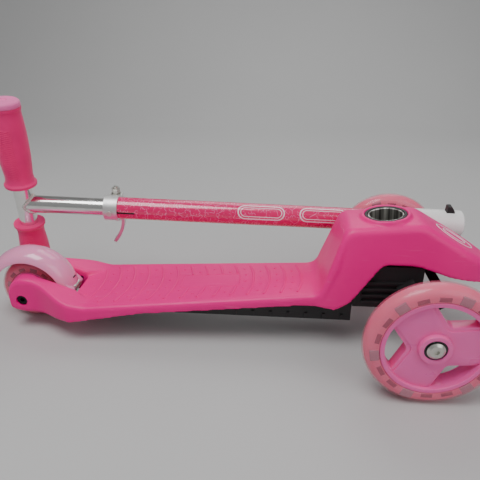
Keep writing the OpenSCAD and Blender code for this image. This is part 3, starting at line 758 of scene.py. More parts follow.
class WheelSettings(bpy.types.PropertyGroup):
    skin: FloatProperty(name="Clear layer", description="Thickness of the tyre's clear outer layer",
                        default=1.7 * MM, unit="LENGTH")
    front_core_r: FloatProperty(name="Front core radius",
                                description="Radius of a front wheel's core",
                                default=extent("front_core_left").z / 2, unit="LENGTH")
    rear_core_r: FloatProperty(name="Rear core radius",
                               description="Radius of the rear wheel's core",
                               default=extent("rear_core").z / 2, unit="LENGTH")
    front_spokes: IntProperty(name="Front spokes", description="Spokes of a front wheel", default=3)
    rear_spokes: IntProperty(name="Rear spokes", description="Spokes of the rear wheel", default=6)
    front_pockets: IntProperty(name="Front pockets", description="Light pockets round a front tyre",
                               default=18)
    rear_pockets: IntProperty(name="Rear pockets", description="Light pockets round the rear tyre",
                              default=12)


class BarSettings(bpy.types.PropertyGroup):
    tube_r: FloatProperty(name="Bar radius",
                          description="Radius of the crossbar and the upper tube",
                          default=11.1 * MM, unit="LENGTH")
    stem_r: FloatProperty(name="Stem radius", description="Radius of the painted lower tube",
                          default=14 * MM, unit="LENGTH")
    grip_r: FloatProperty(name="Grip radius", description="Largest radius of a grip",
                          default=19.5 * MM, unit="LENGTH")
    rib_count: IntProperty(name="Grip ribs",
                           description="Fine ribs in one panel of a grip", default=26)


class ColourSettings(bpy.types.PropertyGroup):
    deck: FloatVectorProperty(name="Deck",
                              description="Colour of the deck moulding", subtype="COLOR",
                              default=(1.0, 0.0, 0.27), min=0, max=1)
    core: FloatVectorProperty(name="Cores",
                              description="Colour of the wheel cores", subtype="COLOR",
                              default=(1.0, 0.14, 0.46), min=0, max=1)
    fender: FloatVectorProperty(name="Fender",
                                description="Colour of the rear fender", subtype="COLOR",
                                default=(1.0, 0.34, 0.60), min=0, max=1)
    tyre: FloatVectorProperty(name="Tyres", description="Colour of the cast tyres", subtype="COLOR",
                              default=(1.0, 0.22, 0.36), min=0, max=1)
    tube: FloatVectorProperty(name="Stem paint",
                              description="Colour of the painted tube", subtype="COLOR",
                              default=(0.85, 0.0, 0.15), min=0, max=1)
    line: FloatVectorProperty(name="Stem lines", description="Colour of the tube's fine lines",
                              subtype="COLOR", default=(1.0, 0.30, 0.58), min=0, max=1)
    grip: FloatVectorProperty(name="Grips", description="Colour of the grips", subtype="COLOR",
                              default=(1.0, 0.012, 0.22), min=0, max=1)
    cap: FloatVectorProperty(name="Grip caps", description="Colour of the grips' end caps",
                             subtype="COLOR", default=(1.0, 0.18, 0.50), min=0, max=1)


class StageSettings(bpy.types.PropertyGroup):
    eye: FloatVectorProperty(name="Camera place", description="Where the camera stands",
                             default=(0.0538, -0.5184, 0.3535), subtype="TRANSLATION",
                             unit="LENGTH")
    tilt: FloatProperty(name="Camera tilt", description="How far the camera looks down",
                        default=24.7 * DEG, subtype="ANGLE")
    turn: FloatProperty(name="Camera turn", description="How far the camera turns towards the rear",
                        default=4.65 * DEG, subtype="ANGLE")
    lens: FloatProperty(name="Lens", description="Focal length in millimetres", default=36.55)


# ---- Stage ----

class SCOOTER_OT_stage(bpy.types.Operator):
    """Sets the camera, the lights and the floor"""
    bl_idname = "scooter.stage"
    bl_label = "Stage"

    def execute(self, context):
        settings = context.scene.scooter_stage
        camera = bpy.data.objects.new("camera", bpy.data.cameras.new("camera"))
        camera.data.lens = settings.lens
        camera.data.sensor_width = 36
        camera.data.clip_start = 0.01
        camera.location = settings.eye
        camera.rotation_euler = (math.pi / 2 - settings.tilt, 0, settings.turn)
        context.scene.collection.objects.link(camera)
        context.scene.camera = camera
        self.light(context, "key", (-0.30, -0.45, 1.5), size=0.8, power=15.0)
        self.light(context, "fill", (1.1, -1.0, 1.0), size=1.2, power=6.0)
        self.light(context, "back", (0.2, 1.1, 1.3), size=1.2, power=8.0)
        world = bpy.data.worlds.new("studio")
        world.use_nodes = True
        sky = world.node_tree.nodes["Background"]
        sky.inputs["Color"].default_value = (0.78, 0.79, 0.80, 1)
        sky.inputs["Strength"].default_value = 0.34
        context.scene.world = world
        half, wall, bend = 4.0, 1.7, 0.6
        line = [(-half, 0.0), (wall - bend, 0.0)]
        line += [(wall - bend + bend * math.sin(a * DEG), bend - bend * math.cos(a * DEG))
                 for a in range(5, 91, 5)] + [(wall, half)]
        rows = [[(x, y, z) for y, z in line] for x in (-half, half)]
        floor = new_piece("floor", loft("floor", rows))
        smooth(floor.data, 30)
        floor.data.materials.append(pale_floor("floor"))
        return {"FINISHED"}

    @staticmethod
    def light(context, name, place, size, power):
        lamp = bpy.data.objects.new(name, bpy.data.lights.new(name, "AREA"))
        lamp.data.size = size
        lamp.data.energy = power
        lamp.location = place
        aim = Vector((0, 0, 50 * MM)) - Vector(place)
        lamp.rotation_euler = aim.to_track_quat("-Z", "Y").to_euler()
        context.scene.collection.objects.link(lamp)


# ---- Deck moulding ----

PLATE_REAR = REAR_X + 62 * MM
PLATE_NARROW, PLATE_WIDE = 43 * MM, 58 * MM
PLATE_SKIRT = 12 * MM
SKIRT_FOOT = 25.5 * MM
WAIST_X = REAR_X + 68 * MM
WELL_HALF = 21.5 * MM
FORK_HALF = 36 * MM
FORK_END = REAR_X - 15.9 * MM
HOUSING_WIDE, HOUSING_NARROW = 46.5 * MM, 33 * MM
HOUSING_CROWN = 1.6 * MM


def plate_z(x):
    """Height of the deck's top at x from the front axles."""
    place, up = MOUNTS["deck_top"]["pos_m"], MOUNTS["deck_top"]["axis"]
    return place[2] - up[0] / up[2] * (AXLE_X + x - place[0])


def plate_half(x):
    """Half width of the deck: it widens to the rear and then draws in to the fork."""
    if x > WAIST_X:
        return mix(PLATE_NARROW, PLATE_WIDE, (-94 * MM - x) / (296 * MM))
    t = min((WAIST_X - x) / (56 * MM), 1.0)
    return mix(PLATE_WIDE, FORK_HALF, (1 - math.cos(math.pi * t)) / 2)


# The moulding's side view, from the plate's rear edge to the nose: its top, then its underside.
TOP_LINE = resampled(filleted(
    [(PLATE_REAR, plate_z(PLATE_REAR)), (-103 * MM, plate_z(-103 * MM)), (-78 * MM, 146 * MM),
     (4 * MM, 153.4 * MM), (88 * MM, 103.8 * MM), (92 * MM, 90 * MM)],
    [16 * MM, 16 * MM, 26 * MM, 9 * MM], 10), 2.4 * MM)
LOW_LINE = filleted(
    [(PLATE_REAR, SKIRT_FOOT), (REAR_X + 150 * MM, plate_z(REAR_X + 150 * MM) - PLATE_SKIRT),
     (-130 * MM, plate_z(-130 * MM) - PLATE_SKIRT), (-106 * MM, 55 * MM), (-84 * MM, 52 * MM),
     (-68 * MM, 62.5 * MM), (-36 * MM, 107 * MM), (2 * MM, 107 * MM), (36 * MM, 95.5 * MM),
     (66 * MM, 89.5 * MM), (92.1 * MM, 83 * MM)],
    [90 * MM, 20 * MM, 20 * MM, 10 * MM, 16 * MM, 12 * MM, 60 * MM, 30 * MM, 20 * MM], 8)


def side_at(x, z):
    """Half width of the moulding's side at a height: it leans in over the housing."""
    rise = min(max((z - 55.5 * MM) / (91 * MM), 0.0), 1.1)
    housing = mix(HOUSING_WIDE, HOUSING_NARROW, rise)
    half = mix(plate_half(x), housing, smoothstep(-118 * MM, -92 * MM, x))
    nose = share(14 * MM, 92 * MM, x)
    return half * math.sqrt(1 - nose ** 3.4)


def moulding_section(x, top, steepness):
    """One row of points across the moulding: up one side, over the top and down the other."""
    low = height_on(LOW_LINE, x)
    soft = mix(5.5 * MM, 10 * MM, smoothstep(-104 * MM, -80 * MM, x))
    drop = min(soft * math.hypot(1, steepness), (top - low) * 0.7)
    shoulder = top - drop
    half = side_at(x, shoulder)
    inset = min(soft, half * 0.9)
    crown = HOUSING_CROWN * smoothstep(-90 * MM, -60 * MM, x)
    points = []
    for k in range(11):
        y = (half - inset) * k / 10
        points.append((y, top - crown * (y / max(half, MM)) ** 2))
    base = points[-1][1] - shoulder
    for k in range(1, 9):
        angle = math.pi / 2 * k / 8
        points.append((half - inset + inset * math.sin(angle), shoulder + base * math.cos(angle)))
    for k in range(1, 17):
        z = mix(shoulder, low, k / 16)
        points.append((side_at(x, z), z))
    row = [(-y, z) for y, z in reversed(points[1:])] + points
    return [at_front(x, y, z) for y, z in row]


def arm_section(x, side):
    """Rounded section of a fork arm, from the deck to its rear end."""
    t = 1 - smoothstep(REAR_X + 2 * MM, REAR_X + 96 * MM, x)
    outer = plate_half(x)
    narrow = smoothstep(REAR_X + 20 * MM, REAR_X + 10 * MM, x)
    fade = share(PLATE_REAR, PLATE_REAR + 36 * MM, x)
    inner = mix(mix(WELL_HALF, 18 * MM, narrow), outer - 13 * MM, fade)
    top = mix(plate_z(x) - 0.6 * MM, REAR_AXLE.z + 29 * MM, t)
    low = mix(SKIRT_FOOT, 23 * MM, t)
    if x > PLATE_REAR:
        low = height_on(LOW_LINE, x) + MM
    past = REAR_X + 4 * MM - x
    if past > 0:
        round_off = 1 - math.sqrt(max(1 - (past / (20.01 * MM)) ** 2, 0.0))
        top -= 21 * MM * round_off
        low += 7 * MM * round_off
    r = min(6 * MM, (outer - inner) * 0.4, (top - low) * 0.45)
    tight = r / 2
    corners = [(inner + tight, low + tight, 180, tight), (outer - r, low + r, 270, r),
               (outer - r, top - r, 0, r), (inner + tight, top - tight, 90, tight)]
    ring = []
    for y, z, first, radius in corners:
        for k in range(7):
            angle = (first + 15 * k) * DEG
            ring.append(at_front(x, side * (y + radius * math.cos(angle)),
                                 z + radius * math.sin(angle)))
    return ring


def slope_at(line, index):
    one, two = line[max(index - 1, 0)], line[min(index + 1, len(line) - 1)]
    return (two.y - one.y) / max(two.x - one.x, 1e-5)


def drill(name, radius, length, place):
    """A closed bar to cut a round hole with, from 0 to length along local Z."""
    return lathe(name, [(0, 0), (radius, 0), (radius, length), (0, length)], 72, place)


class SCOOTER_OT_deck(bpy.types.Operator):
    """Makes the deck, the rear fork and the front housing as one soft-edged moulding"""
    bl_idname = "scooter.deck"
    bl_label = "Deck moulding"

    def execute(self, context):
        settings = context.scene.scooter_deck
        rows = [moulding_section(point.x, point.y, slope_at(TOP_LINE, index))
                for index, point in enumerate(TOP_LINE)]
        shell = new_piece("shell", loft("shell", rows))
        if shell.data.polygons[len(shell.data.polygons) // 8].normal.z < 0:
            shell.data.flip_normals()
        thicken(shell, settings.wall)
        shell = baked(shell)
        arms = []
        for side in (1, -1):
            spans = [REAR_X + 98 * MM - k * 2 * MM for k in range(57)] + [FORK_END]
            rings = [arm_section(x, side) for x in spans]
            arms.append(new_piece("arm", loft("arm", rings, closed=True, caps=True)))
        lip_line = [(22 * MM, -14 * MM), (28.6 * MM, -14 * MM), (27.2 * MM, 2.2 * MM),
                    (23.6 * MM, 2.2 * MM), (22 * MM, -2 * MM)]
        lip = lathe("lip", filleted(lip_line, 1.6 * MM), 96, SOCKET, True)
        moulding = joined("deck_moulding", [shell] + arms + [lip])
        remesh = moulding.modifiers.new("join", "REMESH")
        remesh.mode = "VOXEL"
        remesh.voxel_size = settings.voxel
        soften = moulding.modifiers.new("soften", "SMOOTH")
        soften.factor = 0.5
        soften.iterations = 5
        moulding = baked(moulding)
        axle = placed(REAR_AXLE, (1, 0, 0), (0, 1, 0))
        foot = SOCKET @ Matrix.Translation((0, 0, -45 * MM))
        holes = [drill("socket hole", 23.5 * MM, 70 * MM, foot)]
        for side in (1, -1):
            recess = axle @ Matrix.Translation((0, 0, side * (FORK_HALF - 1.5 * MM) - 3 * MM))
            holes.append(drill("axle recess", 6.9 * MM, 6 * MM, recess))
        moulding = cut(moulding, holes)
        smooth(moulding.data, 55)
        settle(moulding, "deck", finish().deck,
               ("deck_shell", "rear_fork", "front_housing"))
        self.socket()
        return {"FINISHED"}

    @staticmethod
    def socket():
        """The chromed liner and the black collar round it."""
        r = 17.85 * MM
        liner = lathe("socket_liner", filleted(
            [(r, -65 * MM), (r, -0.2 * MM), (r + 0.3 * MM, 0.5 * MM), (19.5 * MM, 0.5 * MM),
             (19.5 * MM, -65 * MM)], [0.2 * MM, 0.3 * MM, 0.3 * MM]), 128, SOCKET, True)
        settle(liner, "deck", finish().socket, ("stem_socket",))
        collar = lathe("black_collar", filleted(
            [(19.55 * MM, -12 * MM), (19.55 * MM, 0.2 * MM), (20.4 * MM, 1.2 * MM),
             (22.9 * MM, 1.2 * MM), (23.4 * MM, 0.2 * MM), (23.4 * MM, -12 * MM)], 0.4 * MM),
            96, SOCKET, True)
        settle(collar, "deck", finish().black, ("socket_collar",))


PANEL = (-268 * MM, -196 * MM, 15 * MM)     # rear, front and half width of the deck's plain panel


class SCOOTER_OT_deck_grip(bpy.types.Operator):
    """Lays the ridges, the studs and the panel's edge on the deck, and two ovals on the nose"""
    bl_idname = "scooter.deck_grip"
    bl_label = "Deck ridges and studs"

    def execute(self, context):
        settings = context.scene.scooter_deck
        radius, sink = settings.ridge_r, 0.55 * settings.ridge_bead
        rear, front, half = PANEL
        ridges, studs = [], []
        apex, clear = -122 * MM, 3 * MM
        row = 0
        while apex > PLATE_REAR + 26 * MM:
            middle = apex - radius
            span = math.asin((plate_half(apex) - 12 * MM) / radius)
            run = []
            for k in range(41):
                angle = span * (k / 20 - 1)
                x, y = middle + radius * math.cos(angle), radius * math.sin(angle)
                if rear < x < front and abs(y) < half:
                    if len(run) > 1:
                        ridges.append(run)
                    run = []
                    continue
                run.append(at_front(x, y, plate_z(x) - sink))
            if len(run) > 1:
                ridges.append(run)
            for part in (-0.66, -0.22, 0.22, 0.66):
                angle = span * (part + (0.11 if row % 2 else -0.11))
                x = middle + radius * math.cos(angle) - settings.ridge_step / 2
                y = radius * math.sin(angle)
                if not (rear - clear < x < front + clear and abs(y) < half + clear):
                    studs.append(at_front(x, y, plate_z(x)))
            apex -= settings.ridge_step
            row += 1
        beads = grown("deck_ridges", path_mesh("ridges", ridges), "beads", finish().deck,
                      Radius=settings.ridge_bead, Sides=10)
        settle(beads, "deck", finish().deck)
        dots = grown("deck_studs", mesh_from("studs", studs, []), "studs", finish().deck,
                     Radius=settings.stud_r, Height=0.9 * MM)
        settle(dots, "deck", finish().deck)
        self.panel_edge()
        self.oval()
        return {"FINISHED"}

    @staticmethod
    def panel_edge():
        """A fine raised line round the plain panel."""
        rear, front, half = PANEL
        r = 6 * MM
        loop = []
        for mx, my, first in ((front - r, 1, 0), (rear + r, 1, 90), (rear + r, -1, 180),
                              (front - r, -1, 270)):
            for k in range(9):
                angle = (first + 11.25 * k) * DEG
                x = mx + r * math.cos(angle)
                y = my * (half - r) + r * math.sin(angle)
                loop.append(at_front(x, y, plate_z(x) - 0.1 * MM))
        edge = grown("deck_panel_edge", path_mesh("panel", [loop + loop[:1]]), "beads",
                     finish().deck, Radius=0.55 * MM, Sides=8)
        settle(edge, "deck", finish().deck)

    @staticmethod
    def oval():
        """A plain double oval printed on the sloping nose."""
        rings = []
        middle, steps = 46 * MM, 64
        for long_half, wide_half in ((20.64 * MM, 15 * MM), (12.9 * MM, 8 * MM)):
            ring = []
            for k in range(steps):
                angle = TAU * k / steps
                x = middle + long_half * math.cos(angle)
                y = wide_half * math.sin(angle)
                top = height_on(TOP_LINE, x)
                half = side_at(x, top - 10 * MM)
                ring.append(at_front(x, y, top - HOUSING_CROWN * (y / half) ** 2 - 0.35 * MM))
            rings.append(ring + ring[:1])
        oval = grown("nose_ovals", path_mesh("ovals", rings), "beads", finish().print,
                     Radius=0.7 * MM, Sides=8)
        settle(oval, "deck", finish().print)


# ---- Wheels ----

def flat_plate(name, outline, half, bevel, place):
    """A plate with a rounded edge and a flat outline, centred on local Z."""
    curve = bpy.data.curves.new(name, "CURVE")
    curve.dimensions = "2D"
    curve.fill_mode = "BOTH"
    curve.extrude = half - bevel
    curve.bevel_depth = bevel
    curve.bevel_resolution = 3
    curve.offset = -bevel
    spline = curve.splines.new("POLY")
    spline.points.add(len(outline) - 1)
    for point, (x, y) in zip(spline.points, outline):
        point.co = (x, y, 0, 1)
    spline.use_cyclic_u = True
    piece = baked(new_piece(name, curve))
    outward(piece.data)
    piece.data.transform(place)
    smooth(piece.data, 40)
    return piece


def wedge(apex, rim, half_angle, turn, radius):
    """A window between two spokes: an apex near the hub that opens to the rim."""
    steps = 8
    arc = [half_angle * k / steps for k in range(-steps, steps + 1)]
    corners = [(apex, 0.0)] + [(rim * math.cos(angle), rim * math.sin(angle)) for angle in arc]
    radii = [radius * 1.4, radius] + [0] * (2 * steps - 1) + [radius]
    first = (Vector(corners[-1]) + Vector(corners[0])) / 2
    line = filleted([first] + [Vector(corner) for corner in corners] + [first], radii, 6)[:-1]
    cosine, sine = math.cos(turn), math.sin(turn)
    return [(x * cosine - y * sine, x * sine + y * cosine) for x, y in line]


def prism(name, loop, low, high, place):
    """A closed block over a flat loop, from one height to another."""
    rings = [[Vector((x, y, z)) for x, y in loop] for z in (low, high)]
    return new_piece(name, loft(name, rings, place, closed=True, caps=True))


def soft_box(name, size, centre_at, bevel, segments=3):
    """A block with rounded edges."""
    work = bmesh.new()
    bmesh.ops.create_cube(work, size=1.0)
    bmesh.ops.scale(work, vec=size, verts=work.verts)
    bmesh.ops.bevel(work, geom=work.edges, offset=bevel, segments=segments, profile=0.5,
                    affect="EDGES")
    bmesh.ops.translate(work, vec=centre_at, verts=work.verts)
    bmesh.ops.recalc_face_normals(work, faces=work.faces)
    mesh = bpy.data.meshes.new(name)
    work.to_mesh(mesh)
    work.free()
    return mesh


def tyre_profile(radius, core_r, half, inset):
    """Half-round tread over straight walls; inset draws the whole outline inwards."""
    crown = (radius - core_r) * 0.7
    side_r = radius - crown
    angles = [k * 7.5 * DEG for k in range(-12, 13)]
    arc = [(side_r + (crown - inset) * math.cos(angle), (half - inset) * math.sin(angle))
           for angle in angles]
    foot = core_r + 0.15 * MM
    return [(foot, arc[0][1] + MM), (foot + 0.8 * MM, arc[0][1])] + arc + \
        [(foot + 0.8 * MM, arc[-1][1]), (foot, arc[-1][1] - MM)]


def web_layer(low, high, radius, loops, place):
    """One layer of a wheel's web, with its windows cut through and its edges softened."""
    bore = 12 * MM
    outline = [(bore, low), (radius, low), (radius, high), (bore, high)]
    disc = lathe("web", outline, 144, place, True)
    disc = cut(disc, [prism("window", loop, low - MM, high + MM, place) for loop in loops])
    soften_edges(disc, 0.4 * MM, 3, 35)
    disc = baked(disc)
    smooth(disc.data, 35)
    return disc


def make_wheel(body, names, side, sizes, skin):
    """Tyre with its clear layer, its pockets' painted shade and light blocks, and the core with its windows."""
    core_node, tyre_node, light_node = names
    place = wheel_place(core_node, side)
    radius, core_r, half = sizes["radius"], sizes["core_r"], extent(tyre_node).y / 2
    finishes = finish()
    outer = lathe(tyre_node + "_skin", tyre_profile(radius, core_r, half, 0), 144, place, True)
    settle(outer, body, finishes.skin, (tyre_node,))
    inner = lathe(tyre_node + "_body", tyre_profile(radius, core_r, half, skin), 144, place, True)
    settle(inner, body, finishes.tyre)
    pocket_long, pocket_wide = sizes["painted_pocket_shade"]
    block_long, block_wide = sizes["block"]
    count, step, face = sizes["pockets"], TAU / sizes["pockets"], half - skin
    work = bmesh.new()
    # Painted shade: a thin dark plate on each face of the tyre, at every pocket, stands in for the pocket's shade.
    for way in (-1, 1):
        work.from_mesh(soft_box("painted_pocket_shade", (pocket_long, pocket_wide, 0.5 * MM),
                                (core_r + sizes["pocket_in"], 0, way * face), 0.2 * MM, 2))
    painted_pocket_shade = bpy.data.meshes.new("painted_pocket_shade")
    work.to_mesh(painted_pocket_shade)
    work.free()
    settle(grown(tyre_node + "_pockets", painted_pocket_shade, "circle", finishes.painted_pocket_shade, place,
                 Count=count, First_angle=step / 2, Step=step), body)
    block = soft_box("block", (block_long, block_wide, 2 * face + 0.9 * MM),
                     (core_r + block_long / 2 + 0.5 * MM, 0, 0), 0.6 * MM)
    settle(grown(light_node + "_blocks", block, "circle", finishes.light, place,
                 Count=count // 3, First_angle=step / 2, Step=3 * step),
           body, None, (light_node,))
    core_moulding(body, core_node, place, core_r, half, sizes)


def core_moulding(body, core_node, place, core_r, half, sizes):
    """The rim, the boss and the web of a wheel's core, as one piece."""
    rim_in, rim_out = core_r - sizes["rim"], core_r - 0.05 * MM
    rim_half = half - 1.2 * MM
    rim = lathe("rim", filleted([(rim_in, 0), (rim_in, rim_half), (rim_out, rim_half),
                                 (rim_out, -rim_half), (rim_in, -rim_half),
                                 (rim_in, -0.1 * MM)], 0.9 * MM), 144, place, True)
    turns = [65 * DEG + TAU * k / sizes["spokes"] for k in range(sizes["spokes"])]
    spread = 96 * DEG / sizes["spokes"]
    web_half, ledge = sizes["web_half"], sizes["ledge"]
    apex, window_r = sizes["apex"], sizes["window_r"]
    plain = [wedge(apex, rim_in - 0.5 * MM, spread, turn, window_r) for turn in turns]
    if ledge:
        wide = [wedge(apex - ledge * 1.5, rim_in - 0.2 * MM, spread + ledge / rim_in, turn,
                      window_r + ledge / 2) for turn in turns]
        skin, overlap = 1.3 * MM, 0.1 * MM
        inner = web_half - skin + overlap
        layers = [(-inner, inner, plain), (-web_half, skin - web_half, wide),
                  (web_half - skin, web_half, wide)]
    else:
        layers = [(-web_half, web_half, plain)]
    webs = [web_layer(low, high, rim_in + 0.9 * MM, loops, place) for low, high, loops in layers]
    seat, wall = 11.0 * MM, 4.6 * MM
    root, root_half = seat + 5.2 * MM, web_half - MM
    boss = lathe("boss", filleted([(seat, 0), (seat, half), (seat + wall, half),
                                   (root, root_half), (root, -root_half), (seat + wall, -half),
                                   (seat, -half), (seat, -0.1 * MM)], 0.8 * MM), 96, place, True)
    settle(joined(core_node + "_moulding", [rim, boss] + webs), body,
           finish().core, (core_node,))


class SCOOTER_OT_front_wheels(bpy.types.Operator):
    """Makes both front wheels"""
    bl_idname = "scooter.front_wheels"
    bl_label = "Front wheels"

    def execute(self, context):
        settings = context.scene.scooter_wheels
        for word, side in SIDES.items():
            names = ("front_core_" + word, "front_tyre_" + word, "front_lights_" + word)
            make_wheel("wheel_" + word, names, side, {
                "radius": FRONT_R, "core_r": settings.front_core_r, "rim": 4.6 * MM,
                "web_half": 7.5 * MM, "apex": 25 * MM, "ledge": 3.2 * MM, "window_r": 5 * MM,
                "spokes": settings.front_spokes, "pockets": settings.front_pockets,
                "painted_pocket_shade": (4.6 * MM, 11 * MM), "pocket_in": 3.6 * MM,
                "block": (9 * MM, 12 * MM)}, settings.skin)
        return {"FINISHED"}


class SCOOTER_OT_rear_wheel(bpy.types.Operator):
    """Makes the rear wheel"""
    bl_idname = "scooter.rear_wheel"
    bl_label = "Rear wheel"

    def execute(self, context):
        settings = context.scene.scooter_wheels
        make_wheel("wheel_rear", ("rear_core", "rear_tyre", "rear_lights"), 1, {
            "radius": REAR_R, "core_r": settings.rear_core_r, "rim": 4 * MM,
            "web_half": 6 * MM, "apex": 17.2 * MM, "ledge": 0.0, "window_r": 1.2 * MM,
            "spokes": settings.rear_spokes, "pockets": settings.rear_pockets,
            "painted_pocket_shade": (4 * MM, 8 * MM), "pocket_in": 3.4 * MM,
            "block": (5 * MM, 8.5 * MM)}, settings.skin)
        return {"FINISHED"}


# ---- Fender ----

FENDER_SKIRT_R, FENDER_CROWN, FENDER_HALF = 42 * MM, 14 * MM, 20 * MM


def fender_point(phi, theta, lift=0.0):
    """A point of the fender's outer face: phi goes across it, theta round the rear axle."""
    r = FENDER_SKIRT_R + FENDER_CROWN * math.sin(phi) + lift
    return REAR_AXLE + Vector((r * math.cos(theta), FENDER_HALF * math.cos(phi),
                               r * math.sin(theta)))


class SCOOTER_OT_fender(bpy.types.Operator):
    """Makes the fender that presses on the rear wheel as a brake"""
    bl_idname = "scooter.fender"
    bl_label = "Rear fender"

    def execute(self, context):
        rows = []
        around, across = 72, 48
        for i in range(around + 1):
            row = []
            for k in range(across + 1):
                phi = math.pi * (1 - k / across)
                first = (4 + 17 * abs(math.cos(phi)) ** 6) * DEG
                last = (150 - 6 * math.cos(phi) ** 2) * DEG
                row.append(fender_point(phi, mix(first, last, i / around)))
            rows.append(row)
        sheet = loft("sheet", rows)
        middle = sheet.polygons[(around // 2) * across + across // 2]
        if middle.normal.dot(middle.center - REAR_AXLE) < 0:
            sheet.flip_normals()
        shell = new_piece("fender_shell", sheet)
        thicken(shell, 2.4 * MM)
        soften_edges(shell, 0.7 * MM, 3, 50)
        shell = baked(shell)
        smooth(shell.data, 50)
        pin = centre("fender_pin")
        eye = 3.8
        outline = [(eye * math.cos(a * DEG), eye * math.sin(a * DEG)) for a in range(150, 391, 15)]
        outline += [(0.0, 6.0), (-4.0, 10.0), (-8.0, 8.0)]
        outline = [(x * MM, y * MM) for x, y in outline]
        lugs = []
        for side in (1, -1):
            place = placed((pin.x, side * 12.5 * MM, pin.z), (1, 0, 0), (0, -1, 0))
            lugs.append(flat_plate("lug", outline, 4.2 * MM, 0.7 * MM, place))
        settle(joined("fender_moulding", [shell] + lugs), "fender", finish().fender,
               ("fender_brake",))
        ribs = []
        for k in range(9):
            theta = (96 + 6 * k) * DEG
            ribs.append([fender_point(phi * DEG, theta, 0.1 * MM) for phi in range(8, 47, 3)])
        settle(grown("fender_ribs", path_mesh("ribs", ribs), "beads", finish().fender,
                     Radius=0.9 * MM, Sides=8), "fender")
        # Painted shade: a black bead stands for the dark inside of a short slot across the fender.
        slot = [fender_point((90 + a) * DEG, 17 * DEG, 0.05 * MM) for a in range(-9, 10, 3)]
        settle(grown("fender_slot_painted_shade", path_mesh("slot", [slot]), "beads", finish().black,
                     Radius=0.9 * MM, Sides=8), "fender")
        return {"FINISHED"}


# ---- Handlebar ----

# Local Z of STEM runs down the tube from the crossbar. The lines hold a place along
# the bar and the radius there, in millimetres.
STEM = BAR @ Matrix(((0, 0, 1, 0), (0, 1, 0, 0), (-1, 0, 0, 0), (0, 0, 0, 1)))
GRIP_LINE = ((27, 19.3), (30, 19.5), (31.6, 18.4), (34, 17.3), (41, 16.6), (52, 17.6), (65, 18.5),
             (82, 18.9), (97, 18.8), (110, 18.2), (117, 17.7), (121, 17.9), (123, 18.5),
             (126, 18.6))
CAP_LINE = ((126, 17.8), (126.4, 18.4), (127.2, 18.6), (130.5, 18.5), (132.2, 17.6), (133.6, 15.6),
            (134, 13.5), (134, 5.5), (132.8, 4.5), (132.6, 0.0))


def eased(line, steps=5):
    """A smooth line through points of (height, radius)."""
    result = []
    for k in range(len(line) - 1):
        a, b, c, d = (Vector(line[min(max(k + n, 0), len(line) - 1)]) for n in (-1, 0, 1, 2))
        for step in range(steps):
            t = step / steps
            result.append(0.5 * ((2 * b) + (c - a) * t + (2 * a - 5 * b + 4 * c - d) * t * t
                                 + (3 * b - a - 3 * c + d) * t ** 3))
    result.append(Vector(line[-1]))
    return [(point.x * MM, point.y * MM) for point in result]


class SCOOTER_OT_grips(bpy.types.Operator):
    """Makes both rubber grips with their ribbed panels and paler end caps"""
    bl_idname = "scooter.grips"
    bl_label = "Grips"

    def execute(self, context):
        settings = context.scene.scooter_bars
        scale = settings.grip_r / (19.5 * MM)
        line = [(r * scale, z) for z, r in eased(GRIP_LINE)]
        curve = [Vector((z, r)) for r, z in line]
        start, last = GRIP_LINE[0][0] * MM, GRIP_LINE[-1][0] * MM
        for word, side in SIDES.items():
            place = BAR @ Matrix.Diagonal((1, 1, side, 1))
            bore = settings.tube_r + 0.1 * MM
            main = lathe("main", [(bore, start)] + line + [(bore, last)], 96, place, True)
            main.data.materials.append(finish().grip)
            cap_points = [(CAP_LINE[0][1] * MM, last)] + [(r * MM, z * MM) for z, r in CAP_LINE]
            cap = lathe("cap", [(0, last)] + cap_points, 96, place)
            cap.data.materials.append(finish().cap)
            for part in (main, cap):
                outward(part.data)
                smooth(part.data, 40)
            settle(joined("grip_sleeve_" + word, [main, cap]), "handlebar", None,
                   ("grip_" + word,))
            ribs = []
            for facing in (-1, 1):
                for k in range(settings.rib_count):
                    path = []
                    for n in range(13):
                        wave = 1.5 * MM * (abs((n / 3) % 2 - 1) - 0.5)
                        z = 41 * MM + k * 2.45 * MM + wave
                        r = height_on(curve, z) - 0.1 * MM
                        angle = (facing * 90 + (n - 6) * 4.6) * DEG
                        path.append((r * math.cos(angle), r * math.sin(angle), z))
                    ribs.append(path)
            settle(grown("grip_ribs_" + word, path_mesh("ribs", ribs), "beads", finish().grip,
                         place, Radius=0.55 * MM, Sides=6), "handlebar")
        return {"FINISHED"}


